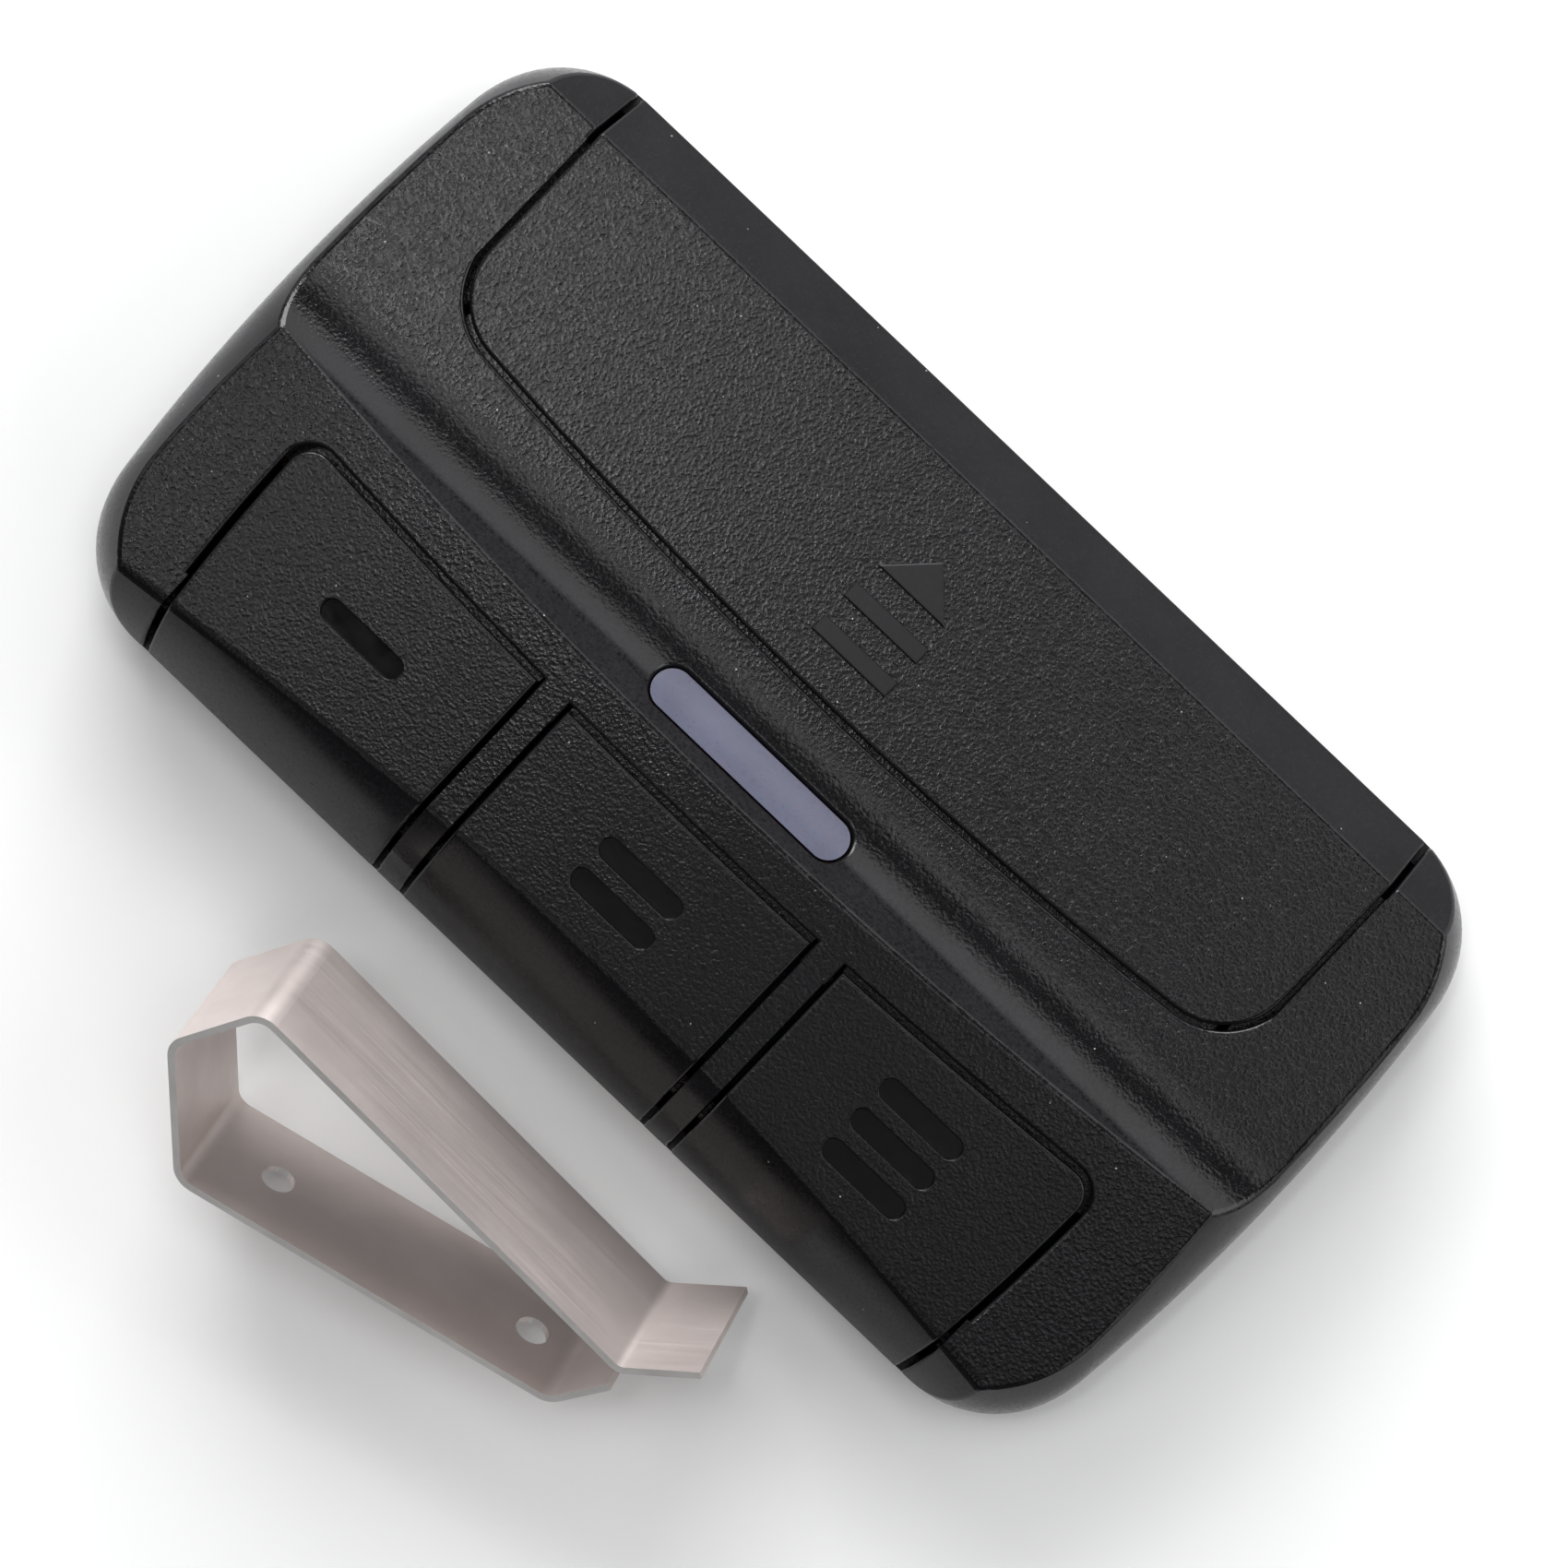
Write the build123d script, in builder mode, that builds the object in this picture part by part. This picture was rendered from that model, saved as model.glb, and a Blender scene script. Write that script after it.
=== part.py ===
from build123d import *
from math import cos, radians, sin, sqrt, tan
import os

# Garage door remote with three keys, in millimetres. The origin is the middle of the flat back.
# +X runs along the case from the one-bar key to the three-bar key, +Y from the keys to the
# battery cover, +Z up out of the face.

# Case, plan outline at the parting line
case_length = 87.0
case_width = 47.9
end_bow_radius = 145.0
case_corner_radius = 8.0
corner_growth = 0.6             # corners open up by this much for each mm of height
wall = 1.5
floor_thickness = 1.5

# Circuit board, above the floor
board_post_height = 0.8
board_thickness = 1.0

# Coin cell and its holder
cell_x = 14.0
cell_setback = 14.75            # from the battery edge of the case to the middle of the cell
cell_y = case_width / 2 - cell_setback
cell_radius = 10.0
cell_height = 3.2
cell_cap_radius = 8.9
cell_cap_height = 0.25
cell_edge_radius = 0.4
contact_thickness = 0.2
contact_width = 4.0
contact_length = 12.0
contact_dimple = 0.1
contact_dimple_radius = 1.3
contact_foot = 3.5
contact_arm = 2.5
holder_clearance = 0.15
holder_wall = 1.15
holder_height = 2.5
holder_lip = 0.85
holder_lip_width = 4.0
holder_lip_thickness = 0.5
holder_lip_clearance = 0.05
cover_room = 0.4                # between the holder's lip and the underside of the battery cover

# Case, heights above the flat back, stacked up from the floor
board_bottom_z = floor_thickness + board_post_height
board_top_z = board_bottom_z + board_thickness
cell_bottom_z = board_top_z + contact_thickness + contact_dimple
cell_top_z = cell_bottom_z + cell_height
holder_top_z = cell_top_z + holder_lip_clearance + holder_lip_thickness
battery_level = holder_top_z + cover_room + wall
battery_fall = 0.5              # from the foot of the valley to the bevel
ridge_rise = 3.95               # of the ridge above the battery cover
ridge_height = battery_level + ridge_rise
parting_height = 4.8
rim_height = 0.4                # upright band above the parting line
end_wall_radius = ridge_height - parting_height
barrel_share = 0.93             # the end walls are lofted up to this much of their quarter round
barrel_steps = 7

# Case, section across the width
ridge_y = -4.95
key_face_run = 5.95             # from the key edge in to the crease above the key faces
bevel_run = 3.75                # from the battery edge in to the head of the bevel
platform_slope = 5.0
facet_angle = 45.0
valley_radius = 7.5
key_face_radius = 14.0
crown_radius = 355.0
crease_radius = 1.2
form_edge_radius = 0.5          # along the ridge, the platform's rim and the bevel
opening_edge_radius = 0.25      # where keys, covers and openings meet the face
crease_y = key_face_run - case_width / 2
bevel_y = case_width / 2 - bevel_run

# Case shells
back_draft = 0.7                # how far the back is drawn in from the parting line
back_edge_radius = 1.2
reveal_height = 0.3             # shadow line at the parting line
reveal_depth = 0.25
tongue_thickness = 0.8          # locating tongue of the rear cover, at both ends
tongue_rise = 0.9
tongue_length = 26.0
tongue_clearance = 0.1

# Keys
key_top_setback = 3.05          # from the ridge to the middle of the keys' upper edge
key_top_radius = 445.0
key_end_margin = 9.1            # from the end of the case to the end of the keys, at their top
key_foot_margin = 10.6          # the same at the key edge
key_end_bow = 0.5
key_corner_radius = 1.7
key_gap = 0.42                  # to the front cover
key_side_gap = 0.3              # to the dividers
key_foot_gap = 0.45             # above the parting line
key_skirt = 1.2
skirt_depth = 4.0
key_flange_reach = 0.6          # under the front cover, above the keys
key_flange_thickness = 0.7
key_flange_clearance = 0.12
divider_width = 2.1
divider_sink = 0.28             # of the dividers below the keys' faces
divider_tab_length = 1.6        # of the ramp at a divider's head
divider_tab_sink = 0.06         # of the ramp's head below the platform
divider_tab_root = 0.3          # of the ramp under the edge of the platform
divider_step = 0.1              # from the keys' opening down to the crease across a divider's head
mark_shift = 0.6                # the outer keys' bars and switches sit this much nearer the middle
key_top_y = ridge_y - key_top_setback
key_end_x = case_length / 2 - key_end_margin
key_foot_x = case_length / 2 - key_foot_margin
divider_x = (key_end_x + divider_width / 2 + key_side_gap) / 3    # three keys equally long
key_pitch = 2 * divider_x - mark_shift
skirt_foot_z = ridge_height - wall - skirt_depth
divider_head_y = key_top_y + key_gap

# Marks
bar_length = 6.7
bar_width = 1.5
bar_pitch = 2.62
bar_depth = 0.35
bar_y = (-13.6, -13.65, -13.75)  # middle of the bars on each key
rib_length = 6.4
rib_width = 1.25
rib_y = (7.2, 10.1)
arrow_width = 5.9
arrow_foot_y = 12.4
arrow_tip_y = 15.4
mark_rise = 0.25
mark_edge_radius = 0.12

# Key pivots
pivot_height = 0.8              # above the parting line
pivot_radius = 1.0
pivot_clearance = 0.1
pivot_reach = 1.2
lug_wall = 0.5
lug_inset = 0.1                 # of the end lugs from the foot of the keys' ends
end_rib_gap = 1.25              # from there out to the end ribs
rib_thickness = 1.9
rib_leg = 0.8                   # material beside a pivot slot
rib_foot = 0.6                  # material below a pivot pin
rib_wall_gap = 0.35             # from the ribs to the rear cover's wall
slot_overcut = 0.1              # a slot's cutter runs past each face of its rib
pivot_post_clearance = 0.2
pivot_y = wall + rib_wall_gap + rib_leg + pivot_clearance + pivot_radius - case_width / 2
pivot_z = parting_height + pivot_height
lug_radius = pivot_radius + lug_wall
end_lug_x = key_foot_x - lug_inset
end_rib_x = key_foot_x + end_rib_gap + rib_thickness / 2
rib_foot_z = pivot_z - pivot_radius - rib_foot

# Battery cover
cover_setback = 8.65            # from the ridge to the middle of the cover's lower edge
cover_end_margin = 8.73
cover_foot_radius = 330.0
cover_corner_radius = 5.0
cover_gap = 0.36
cover_lift = 0.45               # above the parting line
shelf_thickness = 1.0
shelf_reach = 1.5               # under the edge of the cover
shelf_setback = 2.3             # from the cover's lower edge
shelf_end_margin = 4.65         # from the battery edge
rail_height = 0.75              # of the rails that the cover runs on
rail_clearance = 0.05
guide_thickness = 0.7
guide_clearance = 0.2
guide_lead = 2.0                # the cover's guides start this much after the shelves
guide_tail = 1.0                # and end this much before them
hook_x = 29.0
hook_width = 5.0
hook_thickness = 0.85
hook_reach = 1.7
hook_root_setback = 2.0
hook_root_length = 2.3
lip_reach = 1.1                 # of the cover's lip, beyond its lower edge
lip_thickness = 0.4
lip_root = 0.9
lip_half_length = 33.0
cover_foot_y = ridge_y + cover_setback
cover_half_width = case_length / 2 - cover_end_margin
opening_half_width = cover_half_width + cover_gap
shelf_top_z = battery_level - wall - rail_height
shelf_bottom_z = shelf_top_z - shelf_thickness
shelf_start_y = cover_foot_y + shelf_setback
shelf_end_y = case_width / 2 - shelf_end_margin

# Indicator lens
lens_length = 16.4
lens_width = 2.75
lens_setback = 2.6              # from the ridge down the facet, in plan
lens_rise = 0.15
lens_clearance = 0.1
lens_flange = 0.9
lens_flange_thickness = 0.8
led_length = 1.6
led_width = 0.8
led_height = 0.6
led_pitch = 4.0
light_gap = 0.2
light_pipe_length = 10.0
light_pipe_width = 1.6
lens_y = ridge_y + lens_setback

# Screws
screw_end_margin = 6.1
screw_side_margin = 8.35
screw_radius = 1.0
screw_grip = 3.6                # length of thread in the front cover
screw_head_radius = 1.9
screw_head_height = 1.3
screw_cross_length = 2.2
screw_cross_width = 0.55
screw_cross_depth = 0.7
screw_sink = 0.3
screw_clearance = 0.15
screw_thread_clearance = 0.02
screw_tip_room = 0.3
pillar_radius = 3.0
pillar_height = 1.9
boss_radius = 2.1
screw_x = case_length / 2 - screw_end_margin
screw_y = case_width / 2 - screw_side_margin
pillar_top_z = floor_thickness + pillar_height

# Circuit board, plan
board_end_gap = 0.5             # to the rear cover's tongue
board_side_gap = 1.05           # to the rear cover's wall on the battery side
board_pivot_gap = 0.5           # to the keys' lugs
board_pillar_gap = 0.5          # to the screw pillars, at the four cut-away corners
post_radius = 1.4
post_places = ((-22, -9), (22, -9), (-28, 17), (28, 17))
end_post_inset = 1.7            # of the two end posts from the board's ends
hold_down_radius = 1.2
board_half_length = case_length / 2 - wall - tongue_clearance - tongue_thickness - board_end_gap
board_high_y = case_width / 2 - wall - board_side_gap
board_low_y = pivot_y + lug_radius + board_pivot_gap
board_waist_x = screw_x - pillar_radius - board_pillar_gap
board_waist_y = screw_y - pillar_radius - board_pillar_gap
end_post_x = board_half_length - end_post_inset

# Key switches
switch_setback = 10.95          # from the key edge of the case to the middle of the switches
switch_y = switch_setback - case_width / 2
switch_size = 6.0
switch_height = 3.5
switch_corner_radius = 0.4
switch_edge = 0.3
switch_foot_length = 1.6
switch_foot_width = 0.7
switch_foot_reach = 0.6         # from the body's side to the middle of a foot
switch_foot_inset = 0.75        # from the body's corner
plunger_radius = 1.75
plunger_rise = 1.4
plunger_grip = 0.7
plunger_edge_radius = 0.25
plunger_room = 0.6              # below the plunger
switch_clearance = 0.1
press_gap = 0.06                # between a key's post and its plunger
press_post_radius = 1.6
plunger_top_z = board_top_z + switch_height + plunger_rise

# Programming switch
program_x = -12.0
program_setback = 7.4           # from the board's edge on the battery side
program_y = board_high_y - program_setback
program_size = 4.5
program_height = 2.0
program_corner_radius = 0.3
program_edge = 0.2
program_well_floor = 0.5
program_button_radius = 1.1
program_button_rise = 0.9
program_button_grip = 1.0
program_button_edge_radius = 0.2

# Parts on the board
lead_thickness = 0.3
lead_width = 0.25
lead_reach = 0.8
chip_standoff = 0.1
chip_edge = 0.15
controller_place = (-13.0, 2.5)
controller_size = (5.2, 4.4, 1.1)
controller_leads = 8            # along each side
radio_place = (-21.0, 8.5)
radio_size = (4.0, 3.2, 0.9)
radio_leads = 6
crystal_place = (-21.0, 1.5)
crystal_size = (4.6, 2.4, 1.1)
crystal_corner_radius = 0.6
crystal_edge_radius = 0.3
small_part_length = 1.6
small_part_width = 0.8
resistor_height = 0.45
resistor_places = ((-8, -7), (-5, -7), (5, -7), (8, -7), (-17, -4.5), (17, -4.5), (-17, 14), (-17, 16.5))
antenna_end_margin = 8.0        # from the board's end to the middle of the antenna
antenna_switch_gap = 0.7        # from the switches' bodies to the antenna
antenna_high_y = 10.8
antenna_low_y = switch_y + switch_size / 2 + antenna_switch_gap
antenna_width = 9.2
antenna_track = 1.2
antenna_feed_y = 5.0
antenna_feed_gap = 1.6
copper_thickness = 0.1
match_gap = 8.1                 # from the middle of the antenna to its two matching capacitors
antenna_x = antenna_end_margin - board_half_length
match_x = antenna_x + match_gap
capacitor_height = 0.8
capacitor_places = ((-7.5, 2.5), (-7.5, 5), (-21, 12.5), (match_x, 4.5), (match_x, -3), (28, -3), (30.5, -3))

# Visor clip, bent from spring strip
strip_thickness = 0.5
strip_width = 9.5
clip_base = 27.2
clip_curl = 4.5
clip_curl_angle = 51.3
clip_end = 10.1
clip_end_angle = 114.4
clip_top = 6.9
clip_top_angle = 53.6
clip_strap = 31.9
clip_strap_angle = -18.35
clip_lip = 5.7
clip_lip_angle = 34.1
clip_bend_radius = 1.3
clip_hole_radius = 1.15
clip_holes = (5.1, 24.2)        # from the bend at the end wall
clip_x = -8.1                   # of the bend at the end wall, at the strip's upper edge
clip_y = -46.6
clip_heading = 13.0
clip_lean = 35.0                # the clip stands on the lower long edge of its base and leans over

# Seat for the clip's base in the back, with two snap pegs
seat_clearance = 0.2
seat_margin = 0.05              # from the flat back in to the pegs' heads
peg_clearance = 0.1
peg_head_lip = 0.17             # a head is wider than its peg by this much all round
peg_head_height = 0.15
seat_depth = strip_thickness + peg_head_height + seat_margin
peg_radius = clip_hole_radius - peg_clearance
peg_head_radius = peg_radius + peg_head_lip

# Plans of keys and covers run out past the case's long edges by this much
overrun = 3.0

# What counts as upright, and as touching, when edges are picked
upright_limit = 0.02
touching = 0.003


def case_outline(end_inset, side_inset, corner):
    """Plan outline of the case with its bowed ends, drawn in at the ends and the sides."""
    half_x = case_length / 2 - end_inset
    half_y = case_width / 2 - side_inset
    bow = end_bow_radius - sqrt(end_bow_radius**2 - half_y**2)
    shoulder = half_x - bow
    with BuildSketch(mode=Mode.PRIVATE) as outline:
        with BuildLine():
            Line((-shoulder, half_y), (shoulder, half_y))
            ThreePointArc((shoulder, half_y), (half_x, 0), (shoulder, -half_y))
            Line((shoulder, -half_y), (-shoulder, -half_y))
            ThreePointArc((-shoulder, -half_y), (-half_x, 0), (-shoulder, half_y))
        make_face()
        fillet(outline.vertices(), corner)
    return outline.sketch


def plain_outline(inset):
    """The case outline drawn in evenly all round."""
    return case_outline(inset, inset, case_corner_radius - inset)


def case_section(inset):
    """Section across the width: key face, platform, valley, battery end and bevel."""
    half_y = case_width / 2
    rim_z = parting_height + rim_height
    slope = tan(radians(facet_angle))
    # the key face is an arc from the rim to the crease, carried on up to its own crest
    crease_z = ridge_height - (ridge_y - crease_y) * tan(radians(platform_slope))
    run = crease_y + half_y
    rise = crease_z - rim_z
    chord = sqrt(run**2 + rise**2)
    arm = sqrt(key_face_radius**2 - (chord / 2) ** 2)
    crest_y = crease_y - run / 2 + arm * rise / chord
    crest_z = rim_z + rise / 2 - arm * run / chord + key_face_radius
    facet_head_y = ridge_y - (crest_z - ridge_height) / slope
    facet_foot_y = ridge_y + (ridge_height - battery_level) / slope
    bevel_z = battery_level - battery_fall
    with BuildSketch(mode=Mode.PRIVATE) as section:
        with BuildLine():
            Line((half_y, 0), (-half_y, 0))
            Line((-half_y, 0), (-half_y, rim_z))
            RadiusArc((-half_y, rim_z), (crest_y, crest_z), key_face_radius)
            Line((crest_y, crest_z), (facet_head_y, crest_z))
            Line((facet_head_y, crest_z), (facet_foot_y, battery_level))
            Line((facet_foot_y, battery_level), (bevel_y, bevel_z))
            Line((bevel_y, bevel_z), (half_y, rim_z))
            Line((half_y, rim_z), (half_y, 0))
        make_face()
        valley = section.vertices().sort_by_distance((facet_foot_y, battery_level))[0]
        fillet(valley, valley_radius)
        if inset:
            offset(amount=-inset, kind=Kind.INTERSECTION, mode=Mode.REPLACE)
    return section.sketch


def stands_clear(edge):
    """True for an edge that is wholly above the rim band."""
    return edge.bounding_box().max.Z > parting_height + rim_height + touching


def upper_form(inset):
    """Everything above the parting line, drawn in by inset on every outside face."""
    with BuildPart(mode=Mode.PRIVATE) as form:
        for step in range(barrel_steps):
            rise = barrel_share * end_wall_radius * step / (barrel_steps - 1)
            lean = end_wall_radius - sqrt(end_wall_radius**2 - rise**2)
            corner = case_corner_radius - inset + rise * corner_growth
            with BuildSketch(Plane.XY.offset(parting_height + rise)):
                add(case_outline(inset + lean, inset, corner))
        loft()
        extrude(form.faces().sort_by(Axis.Z)[-1], amount=ridge_height - parting_height)
        with BuildSketch(Plane.YZ):
            add(case_section(inset))
        extrude(amount=case_length, both=True, mode=Mode.INTERSECT)
        platform = Plane(
            origin=(0, ridge_y, ridge_height - inset),
            x_dir=(1, 0, 0),
            z_dir=(0, -cos(radians(platform_slope)), -sin(radians(platform_slope))),
        )
        with BuildSketch(platform):
            with Locations((0, -crown_radius)):
                Circle(crown_radius)
        extrude(amount=case_width, both=True, mode=Mode.INTERSECT)
    return form.part


def key_field(grow):
    """Plan of the three keys together, running out past the key edge of the case."""
    far_y = -case_width / 2 - overrun
    corner_y = key_top_y + key_end_x**2 / (2 * key_top_radius)
    middle_y = (corner_y - case_width / 2) / 2
    middle_x = (key_end_x + key_foot_x) / 2 + key_end_bow
    with BuildSketch(mode=Mode.PRIVATE) as field:
        with BuildLine():
            ThreePointArc((-key_end_x, corner_y), (0, key_top_y), (key_end_x, corner_y))
            ThreePointArc((key_end_x, corner_y), (middle_x, middle_y), (key_foot_x, far_y))
            Line((key_foot_x, far_y), (-key_foot_x, far_y))
            ThreePointArc((-key_foot_x, far_y), (-middle_x, middle_y), (-key_end_x, corner_y))
        make_face()
        if grow:
            offset(amount=grow, kind=Kind.INTERSECTION, mode=Mode.REPLACE)
        fillet(field.vertices().group_by(Axis.Y)[-1], key_corner_radius + grow)
    return field.sketch


def key_limits(index):
    """Lowest and highest X of a key, -1 to 1, where outer keys run out past their end."""
    inner_edge = divider_x - divider_width / 2 - key_side_gap
    outer_edge = divider_x + divider_width / 2 + key_side_gap
    if index < 0:
        return -case_length / 2, -outer_edge
    if index > 0:
        return outer_edge, case_length / 2
    return -inner_edge, inner_edge


def key_plan(index, inset):
    """Plan of one key, drawn in by inset on the sides that face its neighbours."""
    low, high = key_limits(index)
    with BuildSketch(mode=Mode.PRIVATE) as plan:
        add(key_field(-inset))
        with Locations(((low + high) / 2, 0)):
            Rectangle(high - low - 2 * inset, 2 * case_width, mode=Mode.INTERSECT)
    return plan.sketch


def key_bars(index):
    """The bars sunk into a key: one, two or three of them."""
    count = index + 2
    with BuildSketch(mode=Mode.PRIVATE) as bars:
        with Locations((index * key_pitch, bar_y[index + 1])):
            with GridLocations(0, bar_pitch, 1, count):
                SlotOverall(bar_length, bar_width)
    return bars.sketch


def cover_plan(grow):
    """Plan of the battery cover, running out past the battery edge of the case."""
    half = cover_half_width + grow
    far_y = case_width / 2 + overrun
    foot_y = cover_foot_y - grow
    corner_y = foot_y + half**2 / (2 * cover_foot_radius)
    with BuildSketch(mode=Mode.PRIVATE) as plan:
        with BuildLine():
            ThreePointArc((-half, corner_y), (0, foot_y), (half, corner_y))
            Line((half, corner_y), (half, far_y))
            Line((half, far_y), (-half, far_y))
            Line((-half, far_y), (-half, corner_y))
        make_face()
        fillet(plan.vertices().group_by(Axis.Y)[0], cover_corner_radius + grow)
    return plan.sketch


def slot_down(x_middle, x_width):
    """Cutter for a pivot slot: a round seat for the pin, open downwards."""
    radius = pivot_radius + pivot_clearance
    with BuildPart(mode=Mode.PRIVATE) as slot:
        with BuildSketch(Plane.YZ.offset(x_middle - x_width / 2)):
            with Locations((pivot_y, pivot_z)):
                Circle(radius)
            with Locations((pivot_y, pivot_z / 2)):
                Rectangle(2 * radius, pivot_z)
        extrude(amount=x_width)
    return slot.part


def runs_along_crease(edge):
    """True for a long edge at the crease above the key faces."""
    return edge.length > case_length / 2 and abs(edge.center().Y - crease_y) < crease_radius


def runs_along_bevel(edge):
    """True for the long edge at the head of the bevel."""
    return edge.length > case_length / 2 and abs(edge.center().Y - bevel_y) < form_edge_radius


inner = upper_form(wall)

# The outside of the keys, with the crease rounded
with BuildPart() as key_form:
    add(upper_form(0))
    fillet(key_form.edges().filter_by(runs_along_crease), crease_radius)

# The outside of the battery cover, with the head of the bevel rounded as well
with BuildPart() as cover_form:
    add(key_form.part)
    fillet(cover_form.edges().filter_by(runs_along_bevel), form_edge_radius)

# The outside of the front cover, with the ridge and the rims rounded too
with BuildPart() as case_form:
    add(key_form.part)
    sharp_edges = case_form.edges().filter_by(stands_clear).filter_by(runs_along_crease, reverse=True)
    fillet(sharp_edges, form_edge_radius)
outer = case_form.part


def face_edges(builder, form):
    """Edges where an upright face meets the outside of the case."""
    skin = form.faces().filter_by(lambda face: face.center().Z > parting_height + rim_height)
    edges = ShapeList()
    for face in builder.faces():
        if abs(face.normal_at(face.center()).Z) < upright_limit:
            for edge in face.edges():
                middle = Vertex(*(edge @ 0.5))
                if min(patch.distance_to(middle) for patch in skin) < touching:
                    edges.append(edge)
    return edges


# Ribs, bosses, posts and shelves inside the front cover, cut to its outer form
with BuildPart() as front_inside:
    rib_y_low = pivot_y - pivot_radius - pivot_clearance - rib_leg
    rib_y_high = pivot_y + pivot_radius + pivot_clearance + rib_leg
    for x in (-end_rib_x, -divider_x, divider_x, end_rib_x):
        with BuildSketch(Plane.XY.offset(rib_foot_z)):
            with Locations((x, (rib_y_low + rib_y_high) / 2)):
                Rectangle(rib_thickness, rib_y_high - rib_y_low)
        extrude(amount=ridge_height)
    for x in (-divider_x, divider_x):
        with BuildSketch(Plane.XY.offset(skirt_foot_z)):
            with Locations((x, (rib_y_high + key_top_y) / 2)):
                Rectangle(rib_thickness, key_top_y - rib_y_high + 2 * key_gap)
        extrude(amount=ridge_height)
    with BuildSketch(Plane.XY.offset(pillar_top_z)):
        with GridLocations(2 * screw_x, 2 * screw_y, 2, 2):
            Circle(boss_radius)
    extrude(amount=ridge_height)
    with BuildSketch(Plane.XY.offset(board_top_z)):
        with GridLocations(2 * end_post_x, 0, 2, 1):
            Circle(hold_down_radius)
    extrude(amount=ridge_height)
    shelf_length = shelf_end_y - shelf_start_y
    shelf_y = (shelf_start_y + shelf_end_y) / 2
    hanger_x = opening_half_width + guide_thickness / 2
    shelf_x = opening_half_width + (guide_thickness - shelf_reach) / 2
    for side in (-1, 1):
        with BuildSketch(Plane.XY.offset(shelf_bottom_z)):
            with Locations((side * hanger_x, shelf_y)):
                Rectangle(guide_thickness, shelf_length)
        extrude(amount=battery_level - shelf_bottom_z)
        with BuildSketch(Plane.XY.offset(shelf_bottom_z)):
            with Locations((side * shelf_x, shelf_y)):
                Rectangle(shelf_reach + guide_thickness, shelf_length)
        extrude(amount=shelf_thickness)
    add(outer, mode=Mode.INTERSECT)

# Dividers between the keys: sunk a little below their faces, with a tab that ramps up to the platform
divider_form = key_form.part.moved(Location((0, 0, -divider_sink)))
slope = tan(radians(platform_slope))
crown_drop = divider_x**2 / (2 * crown_radius)
tab_head_y = divider_head_y + divider_tab_root
divider_cut_y = divider_head_y - divider_step - case_width / 2
tab_head_z = ridge_height - (ridge_y - tab_head_y) * slope - crown_drop - divider_tab_sink
tab_foot_y = divider_head_y - divider_tab_length
tab_foot_z = ridge_height - (ridge_y - tab_foot_y) * slope - crown_drop - divider_sink
with BuildPart() as divider_tabs:
    with BuildSketch(Plane.YZ):
        with BuildLine():
            Polyline(
                (tab_foot_y, tab_foot_z),
                (tab_head_y, tab_head_z),
                (tab_head_y, tab_foot_z - wall / 2),
                (tab_foot_y, tab_foot_z - wall / 2),
                close=True,
            )
        make_face()
    extrude(amount=case_length, both=True)
    with BuildSketch():
        with Locations((-divider_x, tab_foot_y), (divider_x, tab_foot_y)):
            Rectangle(divider_width, case_width)
    extrude(amount=ridge_height, mode=Mode.INTERSECT)

with BuildPart() as dividers:
    with BuildSketch(Plane.XY.offset(parting_height)):
        with Locations((-divider_x, tab_head_y - case_width / 2), (divider_x, tab_head_y - case_width / 2)):
            Rectangle(divider_width, case_width)
    extrude(amount=ridge_height)
    add(divider_form, mode=Mode.INTERSECT)
    fillet(face_edges(dividers, divider_form).filter_by(stands_clear), opening_edge_radius)
    add(divider_tabs.part)

# Front cover: the upper shell, opened for the keys, the battery cover, the lens and the screws
with BuildPart() as front_cover:
    add(outer)
    with BuildSketch(Plane.XY.offset(parting_height)):
        add(key_field(key_gap))
        with GridLocations(2 * divider_x, 0, 2, 1):
            Rectangle(divider_width, 2 * case_width, mode=Mode.SUBTRACT)
    extrude(amount=ridge_height, mode=Mode.SUBTRACT)
    with BuildSketch(Plane.XY.offset(parting_height)):
        add(cover_plan(cover_gap))
    extrude(amount=ridge_height, mode=Mode.SUBTRACT)
    with BuildSketch(Plane.XY.offset(parting_height)):
        with Locations((0, lens_y)):
            SlotOverall(lens_length + 2 * lens_clearance, lens_width + 2 * lens_clearance)
    extrude(amount=ridge_height, mode=Mode.SUBTRACT)
    fillet(face_edges(front_cover, outer).filter_by(stands_clear), opening_edge_radius)
    # the dividers are let in lower than the face, from just below their heads
    with BuildSketch(Plane.XY.offset(parting_height)):
        with Locations((-divider_x, divider_cut_y), (divider_x, divider_cut_y)):
            Rectangle(divider_width + key_side_gap, case_width)
    extrude(amount=ridge_height, mode=Mode.SUBTRACT)
    add(dividers.part)
    add(inner, mode=Mode.SUBTRACT)
    add(front_inside.part)
    for x in (-end_rib_x, -divider_x, divider_x, end_rib_x):
        add(slot_down(x, rib_thickness + 2 * slot_overcut), mode=Mode.SUBTRACT)
    with BuildSketch(Plane.XY.offset(pillar_top_z)):
        with GridLocations(2 * screw_x, 2 * screw_y, 2, 2):
            Circle(screw_radius + screw_thread_clearance)
    extrude(amount=screw_grip + screw_tip_room, mode=Mode.SUBTRACT)

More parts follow.
